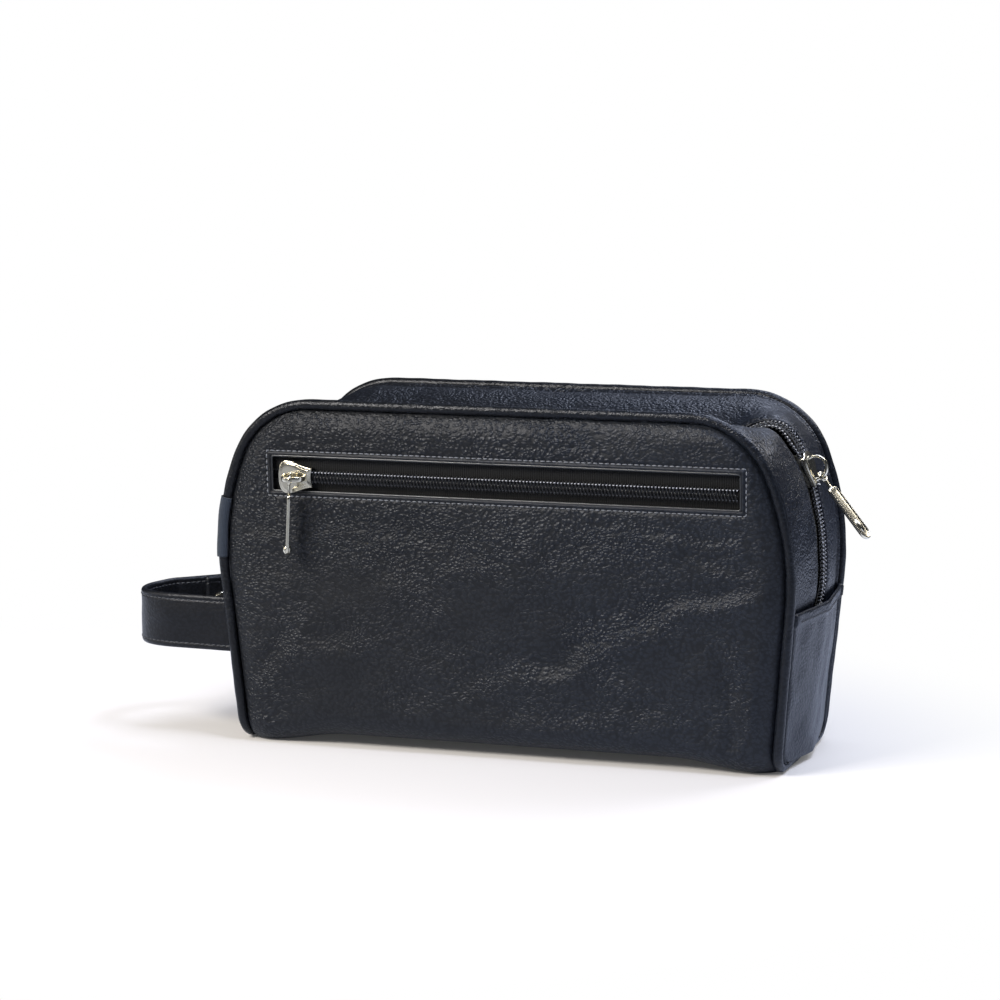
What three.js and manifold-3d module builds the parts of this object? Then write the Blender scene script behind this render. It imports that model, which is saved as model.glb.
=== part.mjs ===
// A leather toiletry bag: front and back panels with a piped edge, a gusset round the sides and top
// with a long zip in it, a zipped front pocket, and a wrist strap with a snap on the left side.
// Millimetres, +Z up, the front faces -Y, and the origin is the middle of the underside.

import * as THREE from "three";
import { mergeVertices } from "three/addons/utils/BufferGeometryUtils.js";
import Module from "manifold-3d";

const wasm = await Module();
wasm.setup();

const { sin, cos, tan, asin, sqrt, abs, min, max, PI } = Math;
const radians = THREE.MathUtils.degToRad;
const mix = THREE.MathUtils.lerp;
const point = (x, y, z) => new THREE.Vector3(x, y, z);

// Overall size
const width = 260;
const height = 154.5;
const bottomDepth = 84.4;
const topDepth = 104;

// Outline of the front: sides that lean out, a long side arc, and a smaller arc at each top corner
const sideRadius = 120;
const sideLean = radians(5);
const cornerStart = radians(23);
const sideCentreShare = 0.547;

// Materials and the room between sewn layers
const leather = 1.6;
const lining = 0.6;
const tape = 0.6;
const board = 1.8;
const clearance = 0.3;
const pipingRadius = 2.2;

// Front and back panels
const rollRadius = 12;
const crown = 4;
const crownReach = 11;
const lapWidth = 9;

// Side gussets and the zip gusset
const creaseBulge = { right: 5, left: 3 };
const creaseShapeShare = 1.1;
const hemHeight = 71.5;
const hemFold = 6;
const hemStepShare = 0.9;
const hemThickness = 1.1;
const tuck = 6;
const gussetStand = 1;

// Zips
const zipSides = {
  halfCoil: 3,
  coilThickness: 1.9,
  coilLift: 0.4,
  toothTip: 0.6,
  toothRoot: 0.9,
  tapeReach: 2,
  tapeTuck: 8,
};
const mainPitch = 4.2;
const pocketPitch = 3.2;
const leatherFromChain = 9;
const stopLength = 2.5;

// Main slider on the right side arc
const sliderAngle = radians(20.5);
const sliderLength = 16;
const noseHalfWidth = 7.4;
const tailHalfWidth = 4.4;
const plate = 1.2;
const wedgeStart = 2.5;
const wedgeEnd = 7.2;
const wedgeHalfWidth = 1.5;

// How the two halves of the main zip part past the slider
const partingSlopeShare = 0.4;
const partingEnd = 5;
const leftPartingShare = 1.6;

// Wrist strap
const strapWidth = 25;
const strapThickness = 3;
const strapMiddle = 52.5;
const strapReach = 54;
const strapGap = 3;
const snapRadius = 5.5;

// Front pocket
const pocketDrop = 30.75;
const pocketWindow = 15;
const pocketRise = 1.2;
const pocketSideLeft = 20.2;
const pocketSideRight = 14.4;
const pocketBag = 62;

const boardMargin = 14;

// Seam line, from the bottom of the right side over the top to the bottom of the left side
const sideCentre = { x: width / 2 - sideRadius, z: height * sideCentreShare };
const taperTop = sideCentre.z - sideRadius * sin(sideLean);
const sideTop = sideCentre.z + sideRadius * sin(cornerStart);
const cornerRadius = (height - sideTop) / (1 - sin(cornerStart));
const cornerCentre = {
  x: sideCentre.x + (sideRadius - cornerRadius) * cos(cornerStart),
  z: height - cornerRadius,
};
const taperLength = taperTop / cos(sideLean);
const sideLength = sideRadius * (sideLean + cornerStart);
const cornerLength = cornerRadius * (PI / 2 - cornerStart);
const seamLength = 2 * (taperLength + sideLength + cornerLength + cornerCentre.x);

// A point of the seam line in the X-Z plane, and the direction out of the bag there
function seam(along) {
  const side = along > seamLength / 2 ? -1 : 1;
  const run = side < 0 ? seamLength - along : along;
  const onSide = run - taperLength;
  const onCorner = onSide - sideLength;
  let centre = sideCentre;
  let radius = sideRadius;
  let angle = -sideLean;
  let slide = onSide;
  if (onSide > 0) {
    slide = 0;
    angle = onSide / sideRadius - sideLean;
  }
  if (onCorner > 0) {
    centre = cornerCentre;
    radius = cornerRadius;
    angle = min(cornerStart + onCorner / cornerRadius, PI / 2);
    slide = max(0, onCorner - cornerLength);
  }
  return {
    x: side * (centre.x + radius * cos(angle) - slide * sin(angle)),
    z: centre.z + radius * sin(angle) + slide * cos(angle),
    outX: side * cos(angle),
    outZ: sin(angle),
  };
}

// How far along the right side's seam line a height lies, up to the top corner
function alongAt(z) {
  if (z < taperTop) return z / cos(sideLean);
  return taperLength + sideRadius * (asin((z - sideCentre.z) / sideRadius) + sideLean);
}

// Half the width of the outline at a height, drawn in by an inset all round
function edge(z, inset) {
  const side = sideRadius - inset;
  const corner = cornerRadius - inset;
  const low = sideCentre.z - side * sin(sideLean);
  if (z < low) return sideCentre.x + side * cos(sideLean) - (low - z) * tan(sideLean);
  if (z < sideCentre.z + side * sin(cornerStart))
    return sideCentre.x + sqrt(side ** 2 - (z - sideCentre.z) ** 2);
  return cornerCentre.x + sqrt(max(0, corner ** 2 - (z - cornerCentre.z) ** 2));
}

const halfDepth = (z) => mix(bottomDepth, topDepth, z / height) / 2;
const even = (from, to, steps) =>
  Array.from({ length: steps + 1 }, (_, i) => mix(from, to, i / steps));
const seamInset = pipingRadius + clearance;

// A closed body from its points and triangles, with its faces turned outwards
function closed(points, index) {
  const geometry = new THREE.BufferGeometry().setFromPoints(points);
  const normal = point(0, 0, 0);
  let volume = 0;
  for (let i = 0; i < index.length; i += 3) {
    const [a, b, c] = index.slice(i, i + 3).map((k) => points[k]);
    volume += normal.crossVectors(a, b).dot(c);
  }
  geometry.setIndex(volume < 0 ? index.slice().reverse() : index);
  return geometry;
}

// A closed shell between two levels of one curved surface, which place(u, v, level) describes
function shell(us, vs, place, top, bottom) {
  const points = [top, bottom].flatMap((level) =>
    us.flatMap((u) => vs.map((v) => place(u, v, level))),
  );
  const index = [];
  const at = (side, i, j) => (side * us.length + i) * vs.length + j;
  const quad = (a, b, c, d) => index.push(a, b, c, a, c, d);
  const lastU = us.length - 1;
  const lastV = vs.length - 1;
  for (let i = 0; i < lastU; i++)
    for (let j = 0; j < lastV; j++) {
      quad(at(0, i, j), at(0, i + 1, j), at(0, i + 1, j + 1), at(0, i, j + 1));
      quad(at(1, i, j), at(1, i, j + 1), at(1, i + 1, j + 1), at(1, i + 1, j));
    }
  for (let i = 0; i < lastU; i++) {
    quad(at(0, i, 0), at(1, i, 0), at(1, i + 1, 0), at(0, i + 1, 0));
    quad(at(0, i, lastV), at(0, i + 1, lastV), at(1, i + 1, lastV), at(1, i, lastV));
  }
  for (let j = 0; j < lastV; j++) {
    quad(at(0, 0, j), at(0, 0, j + 1), at(1, 0, j + 1), at(1, 0, j));
    quad(at(0, lastU, j), at(1, lastU, j), at(1, lastU, j + 1), at(0, lastU, j + 1));
  }
  return closed(points, index);
}

// Solids for cutting and joining, and back
const weld = 0.0001;
function solid(geometry) {
  const loose = geometry.index ? geometry.toNonIndexed() : geometry;
  const bare = new THREE.BufferGeometry();
  bare.setAttribute("position", loose.getAttribute("position"));
  const merged = mergeVertices(bare, weld);
  const vertProperties = merged.attributes.position.array;
  const triVerts = new Uint32Array(merged.index.array);
  return new wasm.Manifold(new wasm.Mesh({ numProp: 3, vertProperties, triVerts }));
}

function unsolid(manifold) {
  const mesh = manifold.getMesh();
  const geometry = new THREE.BufferGeometry();
  geometry.setAttribute("position", new THREE.BufferAttribute(mesh.vertProperties, 3));
  geometry.setIndex(new THREE.BufferAttribute(mesh.triVerts, 1));
  return geometry;
}

const box = (x0, x1, y0, y1, z0, z1) =>
  new THREE.BoxGeometry(x1 - x0, y1 - y0, z1 - z0).translate(
    (x0 + x1) / 2,
    (y0 + y1) / 2,
    (z0 + z1) / 2,
  );

// An outline drawn in X-Y and extruded between two heights
function prism(shape, z0, z1, curveSegments) {
  const options = { depth: z1 - z0, bevelEnabled: false, curveSegments };
  return new THREE.ExtrudeGeometry(shape, options).translate(0, 0, z0);
}

const join = (first, ...rest) =>
  unsolid(rest.reduce((sum, geometry) => sum.add(solid(geometry)), solid(first)));
const cut = (first, ...rest) =>
  unsolid(rest.reduce((sum, geometry) => sum.subtract(solid(geometry)), solid(first)));

// Finishes
const finish = (color, roughness, metalness) =>
  new THREE.MeshStandardMaterial({ color, roughness, metalness });
const finishes = {
  leather: () => finish("#1b1c1f", 0.5, 0),
  lining: () => finish("#202124", 0.9, 0),
  tape: () => finish("#141416", 0.85, 0),
  coil: () => finish("#1a1a1c", 0.35, 0),
  nickel: () => finish("#c9c6c0", 0.2, 1),
  label: () => finish("#2a3444", 0.9, 0),
  board: () => finish("#6b5b48", 0.9, 0),
};

const bag = new THREE.Group();
function add(name, geometry, material, holder = bag) {
  const mesh = new THREE.Mesh(geometry, finishes[material]());
  mesh.name = name;
  holder.add(mesh);
}

// Front and back panels: a face with a crown, rolled under at the bottom into a lap
const ramp = (distance) => sin((PI / 2) * min(1, max(0, distance) / crownReach));
const faceTop = height - seamInset;

function faceCrown(x, z, inset) {
  return ramp(edge(z, inset) - abs(x)) * ramp(height - inset - z);
}

// Columns as a distance from the nearest side edge, or as a share of the flat middle
const edgeSteps = [0, 0.25, 0.6, 1].map((share) => share * crownReach);
const columns = [
  ...edgeSteps.map((distance) => ({ side: -1, distance })),
  ...[-0.5, 0, 0.5].map((share) => ({ share })),
  ...edgeSteps.map((distance) => ({ side: 1, distance })).reverse(),
];

function columnX(column, half) {
  if (column.side) return column.side * (half - column.distance);
  return column.share * (half - crownReach);
}

function faceRows() {
  const rolled = even(-PI / 2, -PI, 4).map((angle) => ({ angle }));
  const straight = even(rollRadius, taperTop, 3).slice(1, -1);
  const side = even(-sideLean, cornerStart, 4).map((angle) => sideCentre.z + sideRadius * sin(angle));
  const round = even(cornerStart, PI / 2, 6)
    .slice(1)
    .map((angle) => cornerCentre.z + (cornerRadius - seamInset) * sin(angle));
  return [{ lap: 1 }, ...rolled, ...[...straight, ...side, ...round].map((z) => ({ z }))];
}

const rollDepth = halfDepth(rollRadius);
const lapEnd = rollDepth - rollRadius - lapWidth;

// face is -1 for the front and 1 for the back
function panelPlace(face, fullness, inset) {
  return (row, column, level) => {
    const z = row.z ?? rollRadius;
    const rolledZ = row.angle ? rollRadius * (1 + sin(row.angle)) : 0;
    const x = columnX(column, edge(row.z ?? rolledZ, inset));
    const swell = fullness * faceCrown(x, z, inset);
    if (row.z) return point(x, face * (halfDepth(z) + swell - level), z);
    const centre = rollDepth + swell - rollRadius;
    if (row.lap) return point(x, face * lapEnd, level);
    const radius = rollRadius - level;
    return point(x, face * (centre - radius * cos(row.angle)), rollRadius + radius * sin(row.angle));
  };
}

const faceTilt = Math.atan2((topDepth - bottomDepth) / 2, height);
const windowCentre = height - pocketDrop;
const windowLeft = pocketSideLeft - edge(windowCentre, 0);
const windowRight = edge(windowCentre, 0) - pocketSideRight;
const chainHeight = windowCentre - pocketRise;
const windowBottom = windowCentre - pocketWindow / 2;
const windowTop = windowCentre + pocketWindow / 2;
const overrun = 5;

function addPanels() {
  const rows = faceRows();
  const front = shell(rows, columns, panelPlace(-1, crown, seamInset), 0, leather);
  const reach = halfDepth(windowCentre) + crown;
  const hole = box(
    windowLeft,
    windowRight,
    -reach - overrun,
    -reach + overrun,
    windowBottom,
    windowTop,
  );
  add("front_panel", cut(front, hole), "leather");
  add("back_panel", shell(rows, columns, panelPlace(1, crown, seamInset), 0, leather), "leather");
  const x = edge(0, seamInset);
  const y = lapEnd - clearance;
  add("bottom_panel", box(-x, x, -y, y, 0, leather), "leather");
}

// Lining and stiffening board inside
const liningLevel = leather + 2 * clearance;
function addLinings() {
  const rows = faceRows()
    .slice(1)
    .filter((row) => !row.z || row.z < faceTop - overrun);
  for (const [name, face] of Object.entries({ lining_front: -1, lining_back: 1 })) {
    const place = panelPlace(face, 0, seamInset + leather);
    const flat = [columns[0], { share: 0 }, columns[columns.length - 1]];
    add(name, shell(rows, flat, place, liningLevel, liningLevel + lining), "lining");
  }
  const x = edge(0, boardMargin);
  const y = rollDepth - rollRadius - leather - clearance;
  const boardTop = leather + clearance + board;
  add("base_board", box(-x, x, -y, y, leather + clearance, boardTop), "board");
  const floor = boardTop + clearance;
  add("lining_bottom", box(-x, x, -y - leather, y + leather, floor, floor + lining), "lining");
}

// Edge piping: one closed loop round both faces, tucked under along the bottom of each side
const tuckHeight = rollRadius - seamInset;

// A point of the tuck below a corner, by its angle from the face (0) to the underside (a quarter turn)
function tuckPoint(face, angle, inset) {
  const outY = cos(angle) / rollRadius;
  const outZ = -sin(angle) / tuckHeight;
  const size = Math.hypot(outY, outZ);
  const out = point(0, (face * outY) / size, outZ / size);
  const y = face * (rollDepth - rollRadius + rollRadius * cos(angle));
  const z = rollRadius - tuckHeight * sin(angle);
  return { at: point(0, y, z).addScaledVector(out, -inset), out };
}

function alongSteps() {
  const first = alongAt(rollRadius);
  const steps = [
    ...even(first, taperLength, 1),
    ...even(taperLength, taperLength + sideLength, 4).slice(1),
    ...even(taperLength + sideLength, taperLength + sideLength + cornerLength, 6).slice(1),
  ];
  const mirrored = steps.map((along) => seamLength - along).reverse();
  return [...steps, seamLength / 2, ...mirrored];
}

function pipingPath() {
  const overTop = (face) =>
    alongSteps().map((along) => {
      const { x, z } = seam(along);
      return { at: point(x, face * halfDepth(z), z), out: point(0, face, 0) };
    });
  const under = (side, face) =>
    even(0, PI / 2, 4)
      .slice(1)
      .map((angle) => {
        const { at, out } = tuckPoint(face, angle, 0);
        return { at: at.setX(side * edge(at.z, 0)), out };
      });
  return [
    ...overTop(-1),
    ...under(-1, -1),
    ...under(-1, 1).reverse(),
    ...overTop(1).reverse(),
    ...under(1, 1),
    ...under(1, -1).reverse(),
  ];
}

// A closed loop of round section along a path whose points know the way out
function loop(path, radius, sides) {
  const count = path.length;
  const points = path.flatMap(({ at, out }, i) => {
    const next = path[(i + 1) % count].at;
    const last = path[(i + count - 1) % count].at;
    const across = next.clone().sub(last).cross(out).normalize();
    return even(0, 2 * PI, sides)
      .slice(1)
      .map((turn) =>
        at
          .clone()
          .addScaledVector(out, radius * cos(turn))
          .addScaledVector(across, radius * sin(turn)),
      );
  });
  const index = [];
  for (let i = 0; i < count; i++)
    for (let k = 0; k < sides; k++) {
      const next = ((i + 1) % count) * sides;
      const turned = (k + 1) % sides;
      const a = i * sides + k;
      const b = i * sides + turned;
      index.push(a, b, next + turned, a, next + turned, next + k);
    }
  return closed(points, index);
}

// Side gussets: the lower part of each side, with a crease down the middle and a folded hem
const hemAlong = alongAt(hemHeight);

function sideRows(topZ, inset) {
  const low = even(PI / 2, 0, 3).map((angle) => {
    const { at } = tuckPoint(1, angle, inset);
    return { z: at.z, half: at.y };
  });
  const straight = even(rollRadius, topZ - hemFold, 3).slice(1);
  const hem = [topZ - hemFold * hemStepShare, topZ];
  return [...low, ...[...straight, ...hem].map((z) => ({ z, half: halfDepth(z) - inset }))];
}

function sidePlace(side, hem) {
  return (row, share, level) => {
    const bulge = creaseBulge[side > 0 ? "right" : "left"] * (1 - abs(share) ** creaseShapeShare);
    const fold = row.z > hemHeight - hemFold && level === 0 ? hem : 0;
    const along = alongAt(row.z);
    const { x, z, outX, outZ } = seam(side > 0 ? along : seamLength - along);
    const out = gussetStand + bulge + fold - level;
    return point(x + out * outX, share * row.half, z + out * outZ);
  };
}

const crossShares = [-1, -0.75, -0.5, -0.25, 0, 0.25, 0.5, 0.75, 1];

function addSides() {
  const sides = { right: 1, left: -1 };
  for (const [name, side] of Object.entries(sides)) {
    const outer = sideRows(hemHeight, seamInset);
    const gusset = shell(outer, crossShares, sidePlace(side, hemThickness), 0, leather);
    add("side_gusset_" + name, gusset, "leather");
    const inner = sideRows(hemHeight - tuck - leather, seamInset + leather);
    const level = leather + clearance;
    const few = crossShares.filter((share, i) => i % 2 === 0);
    const lined = shell(inner, few, sidePlace(side, 0), level, level + lining);
    add("lining_side_" + name, lined, "lining");
  }
  add("edge_piping", loop(pipingPath(), pipingRadius, 8), "leather");
}

// The two halves of the zip gusset: each is a strip that leaves the piping at one angle and reaches
// the middle of the zip at another, bent as an arc
const gussetLevel = gussetStand - leather - clearance;
const zipStart = alongAt(hemHeight - tuck);
const zipEnd = seamLength - zipStart;
const sliderAlong = taperLength + sideRadius * (sliderAngle + sideLean);
const cornerAlong = taperLength + sideLength;
const topAlong = cornerAlong + cornerLength;
const leftTopAlong = seamLength - topAlong;
const leftFlareAngle = radians(7);
const leftFlareAlong = seamLength - alongAt(sideCentre.z + sideRadius * sin(leftFlareAngle));
const droopStartShare = 0.3;
const droopStart = mix(cornerAlong, topAlong, droopStartShare);

// The angles at which a half leaves the piping and arrives at the middle of the zip: tucked in at
// each end, shut up the right side, drooping over the open top, and flared near the left end
const closedRise = radians(9.5);
const shut = { leave: closedRise, arrive: 0 };
const tuckedRight = { leave: radians(7), arrive: 0 };
const tucked = { leave: radians(5), arrive: 0 };
const droops = {
  front: { leave: radians(-10), arrive: radians(-85) },
  rear: { leave: radians(5), arrive: radians(-70) },
};
const flares = {
  front: { leave: radians(32), arrive: radians(6) },
  rear: { leave: radians(26), arrive: 0 },
};

const keysOf = (half) => [
  { along: zipStart, ...tuckedRight },
  { along: hemAlong + hemFold, ...shut },
  { along: droopStart, ...shut },
  { along: topAlong + overrun, ...droops[half] },
  { along: leftTopAlong - overrun, ...droops[half] },
  { along: leftFlareAlong, ...flares[half] },
  { along: zipEnd - 2 * tuck, ...tucked },
  { along: zipEnd, ...tucked },
];
const keys = { front: keysOf("front"), rear: keysOf("rear") };

// How far each half stands back from the middle where the zip is parted
const partings = [
  { along: zipStart, gap: 0 },
  { along: sliderAlong, gap: 0 },
  { along: sliderAlong + partingEnd / partingSlopeShare, gap: partingEnd },
  { along: topAlong + overrun, gap: 0 },
  { along: leftTopAlong, gap: 0 },
  { along: leftFlareAlong, gap: leftPartingShare * partingEnd },
  { along: zipEnd - 2 * tuck, gap: 0 },
  { along: zipEnd, gap: 0 },
];

// A value between its two nearest keys: eased, or straight
function between(list, along, field, eased) {
  const after = max(1, list.findIndex((key) => key.along > along));
  const [a, b] = [list[after - 1], list[after]];
  const share = min(1, max(0, (along - a.along) / (b.along - a.along)));
  return mix(a[field], b[field], eased ? share * share * (3 - 2 * share) : share);
}

const closedChordShare = sin(closedRise) / closedRise;

function strip(half, along) {
  const start = seam(along);
  const reach = halfDepth(start.z) - seamInset;
  const list = keys[half];
  const at = min(along, zipEnd - weld);
  const gap = between(partings, at, "gap", false);
  return {
    ...start,
    face: half === "front" ? -1 : 1,
    reach,
    width: (reach - gap) / closedChordShare,
    leave: between(list, at, "leave", true),
    arrive: between(list, at, "arrive", true) + weld,
  };
}

// A point on a half: how far across from the piping, and how far above the leather's outer side
function onStrip(half, along, fromChain, level) {
  const { x, z, outX, outZ, face, reach, width, leave, arrive } = strip(half, along);
  const across = width + fromChain;
  const turned = mix(leave, arrive, min(1, across / width));
  const bend = (arrive - leave) / width;
  const past = max(0, fromChain);
  const inward = (sin(turned) - sin(leave)) / bend + past * cos(turned) - level * sin(turned);
  const rise = (cos(leave) - cos(turned)) / bend + past * sin(turned) + level * cos(turned);
  const out = gussetLevel + rise;
  return point(x + out * outX, face * (reach - inward), z + out * outZ);
}

// Leather, tape, lining and coils all follow the same straight stretches from step to step
const gussetSteps = even(zipStart, zipEnd, 36);

function laid(half, along, fromChain, level) {
  const span = (zipEnd - zipStart) / (gussetSteps.length - 1);
  const step = min(gussetSteps.length - 2, Math.floor((along - zipStart) / span));
  const share = (along - gussetSteps[step]) / span;
  const [from, to] = [gussetSteps[step], gussetSteps[step + 1]];
  return onStrip(half, from, fromChain, level).lerp(onStrip(half, to, fromChain, level), share);
}

// A layer of a half, from near the piping to an end short of the zip's middle
const seamShares = [0, 0.2, 0.6, 1];
const liningShares = [0, 0.5, 1];
const underTape = leatherFromChain + zipSides.tapeTuck;

function layer(half, shares, margin, end, top, bottom) {
  const stations = [...shares, 2];
  const place = (along, share, level) => {
    const { width } = strip(half, along);
    const fromChain = share > 1 ? -end : mix(margin - width, -underTape, share);
    return onStrip(half, along, fromChain, level);
  };
  return shell(gussetSteps, stations, place, top, bottom);
}

// A row of coil teeth: a strip whose inner edge runs in and out, half a pitch behind the other row's
function coilRow(count, phase, place) {
  const steps = even(0, count, count);
  const { halfCoil, toothTip, toothRoot } = zipSides;
  const tooth = (step, inner, level) => {
    const reach = (step + phase) % 2 ? -toothRoot : toothTip;
    return place(step, inner ? reach : -halfCoil, level);
  };
  return shell(steps, [0, 1], tooth, coilTop, coilBase);
}

const tapeGap = 0.4;
const tapeTop = -leather - tapeGap;
const chainStart = zipStart + stopLength + clearance;
const chainEnd = zipEnd - stopLength - clearance;
const coilBase = zipSides.coilLift - leather;
const coilTop = coilBase + zipSides.coilThickness;
const mainSteps = 2 * Math.round((chainEnd - chainStart) / mainPitch);

function addZipGusset() {
  const { tapeReach, halfCoil } = zipSides;
  const liningTop = tapeTop - tape - clearance;
  for (const half of ["front", "rear"]) {
    const outer = layer(half, seamShares, 0, leatherFromChain, 0, -leather);
    add("zip_gusset_" + half, outer, "leather");
    const end = leatherFromChain + clearance;
    const inner = layer(half, liningShares, leather, end, liningTop, liningTop - lining);
    add("lining_zip_gusset_" + half, inner, "lining");
    const onTape = (along, fromChain, level) => laid(half, along, fromChain, level);
    const tapeEdges = [-underTape, -leatherFromChain, -tapeReach];
    const strips = shell(gussetSteps, tapeEdges, onTape, tapeTop, tapeTop - tape);
    add("main_tape_" + half, strips, "tape");
    const phase = half === "front" ? 0 : 1;
    const coil = coilRow(mainSteps, phase, (step, fromChain, level) =>
      laid(half, mix(chainStart, chainEnd, step / mainSteps), fromChain, level),
    );
    add("main_coil_" + half, coil, "coil");
    const stopSteps = [zipEnd - stopLength, zipEnd - clearance];
    const stop = shell(stopSteps, [-halfCoil, -clearance], onTape, coilTop, coilBase);
    add("main_top_stop_" + half, stop, "nickel");
  }
  const across = (along, side, level) => laid(side < 0 ? "front" : "rear", along, -halfCoil, level);
  const ends = [zipStart, zipStart + stopLength];
  add("main_end_stop", shell(ends, [-1, 1], across, coilTop, coilBase), "nickel");
}

// Slider: two plates joined by a wedge at the nose, with side walls that close the coils together.
// Along X with its nose at +X, Z is the way out, and 0 is the outer side of the leather.
const plateBottom = 1.1;
const plateTop = plateBottom + plate;
const capStep = 0.4;
const crownSeat = plateTop + capStep;
const mainUnder = -3.9;
const pocketUnder = -3.3;
const flange = 0.9;
const flangeFoot = tapeTop + 2 * clearance;

function sliderShape(shrink, widest = noseHalfWidth) {
  const tail = -sliderLength / 2 + shrink;
  const nose = sliderLength / 2 - shrink;
  const shoulder = widest - shrink;
  const narrow = tailHalfWidth - shrink;
  const shape = new THREE.Shape();
  shape.moveTo(tail, -narrow);
  shape.bezierCurveTo(tail / 2, -narrow, 0, -shoulder, nose / 2, -shoulder);
  shape.quadraticCurveTo(nose, -shoulder, nose, 0);
  shape.quadraticCurveTo(nose, shoulder, nose / 2, shoulder);
  shape.bezierCurveTo(0, shoulder, tail / 2, narrow, tail, narrow);
  shape.quadraticCurveTo(tail + flange, 0, tail, -narrow);
  return shape;
}

// The side walls spread towards the nose up to a widest half width, and the lower plate lies at a depth
function sliderBody(widest, underTop) {
  const segments = 4;
  const top = prism(sliderShape(0), plateBottom, plateTop, segments);
  const cap = prism(sliderShape(plate), plateTop - weld, crownSeat, segments);
  const bottom = prism(sliderShape(0), underTop - plate, underTop, segments);
  const outer = prism(sliderShape(0, widest), flangeFoot, plateBottom + weld, segments);
  const { halfCoil } = zipSides;
  const channel = (from, half) =>
    box(from, sliderLength, -half, half, flangeFoot - overrun, plateBottom);
  const inner = prism(sliderShape(flange, widest), flangeFoot - overrun, plateBottom, segments);
  const walls = cut(
    outer,
    inner,
    channel(-sliderLength, halfCoil + clearance),
    channel(sliderLength / 4, widest - flange),
  );
  const wedge = new THREE.Shape();
  wedge.moveTo(wedgeStart, 0);
  wedge.lineTo(wedgeEnd, -wedgeHalfWidth);
  wedge.lineTo(wedgeEnd, wedgeHalfWidth);
  const post = prism(wedge, underTop - weld, plateBottom + weld, 1);
  return join(top, cap, bottom, post, walls);
}

// Crown: the bail that the pull hangs on, an arch of flat bar along the slider
const crownRadius = 5;
const crownBar = 1.2;
const crownWidth = 2.2;
const crownLegs = 0.8;

function crownBail() {
  const arch = (radius) => {
    const shape = new THREE.Shape();
    shape.moveTo(-radius, radius > crownRadius ? 0 : -crownLegs);
    shape.lineTo(-radius, crownLegs);
    shape.absarc(0, crownLegs, radius, PI, 0, true);
    shape.lineTo(radius, radius > crownRadius ? 0 : -crownLegs);
    return shape;
  };
  const shape = arch(crownRadius + crownBar / 2);
  const hollow = arch(crownRadius - crownBar / 2);
  const bail = prism(shape, -crownWidth / 2, crownWidth / 2, 6);
  const inside = prism(hollow, -crownWidth, crownWidth, 6);
  return cut(bail, inside).rotateX(PI / 2).translate(0, 0, crownSeat + clearance);
}
const crownCentre = crownSeat + clearance + crownLegs;

// Pull: a flat tab with an eye for the crown, a neck, rims round a sunk face, and an oval lip at the tip.
// The eye's middle is at the origin and the tab runs along +X.
const pull = {
  eye: 2.6,
  hole: 1.6,
  neckEnd: 6,
  neckHalf: 1.3,
  length: 36,
  halfWidth: 4,
  thickness: 1.4,
  rim: 0.9,
  sink: 0.35,
  lipLength: 7,
};

function pullTab() {
  const { eye, hole, neckEnd, neckHalf, length, halfWidth, thickness, rim, sink, lipLength } = pull;
  const half = thickness / 2;
  const eyeRing = prism(new THREE.Shape().absarc(0, 0, eye, 0, 2 * PI, false), -half, half, 8);
  const tab = (shrink) => {
    const shape = new THREE.Shape();
    const start = neckEnd + shrink;
    const end = length - eye - shrink;
    const side = halfWidth - shrink;
    shape.moveTo(start, -side / 2);
    shape.quadraticCurveTo(start, -side, start + side / 2, -side);
    shape.lineTo(end - side, -side);
    shape.absarc(end - side, 0, side, -PI / 2, PI / 2, false);
    shape.lineTo(start + side / 2, side);
    shape.quadraticCurveTo(start, side, start, side / 2);
    return shape;
  };
  const body = prism(tab(0), -half, half, 4);
  const neck = box(hole + rim / 2, neckEnd + rim, -neckHalf, neckHalf, -half, half);
  const sunk = [1, -1].map((side) =>
    prism(tab(rim), 0, half, 4).translate(0, 0, side > 0 ? half - sink : sink - 2 * half),
  );
  const lip = new THREE.SphereGeometry(1, 8, 6);
  lip.scale(lipLength / 2, halfWidth - 2 * rim, half + sink);
  lip.translate(length - eye - lipLength, 0, 0);
  const eyeHole = prism(new THREE.Shape().absarc(0, 0, hole, 0, 2 * PI, false), -thickness, thickness, 8);
  return join(cut(join(eyeRing, neck, body), eyeHole, ...sunk), lip);
}

// A group whose X, Y and Z axes point along three given directions
function frameAt(origin, x, y, z) {
  const group = new THREE.Group();
  group.quaternion.setFromRotationMatrix(new THREE.Matrix4().makeBasis(x, y, z));
  group.position.copy(origin);
  return group;
}

const pullRest = radians(72);

function addMainSlider() {
  const { outX, outZ } = seam(sliderAlong);
  const out = point(outX, 0, outZ);
  const up = point(-outZ, 0, outX);
  const seat = onStrip("front", sliderAlong, 0, 0).setY(0);
  const slider = frameAt(seat, up, point(0, -1, 0), out);
  bag.add(slider);
  add("main_slider_body", sliderBody(noseHalfWidth, mainUnder), "nickel", slider);
  add("main_slider_crown", crownBail(), "nickel", slider);
  const down = out.clone().multiplyScalar(cos(pullRest)).addScaledVector(up, -sin(pullRest));
  const across = point(0, 1, 0);
  const hung = seat.clone().addScaledVector(out, crownCentre).addScaledVector(down, crownRadius);
  const tab = frameAt(hung, down, across, down.clone().cross(across));
  bag.add(tab);
  add("main_pull_tab", pullTab(), "nickel", tab);
}

// Front pocket: its own frame lies on the front panel's flat face, with Y up the face and Z outwards
const pocketSink = 0.55;
const underLeather = 3;
const pocketSliderGap = 3.3;
const pullLean = radians(4);
const pocketSliderX = windowLeft + pocketSliderGap + sliderLength / 2;
const pocketPath = { left: pocketSliderX - wedgeStart + clearance, right: windowRight - clearance };

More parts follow.
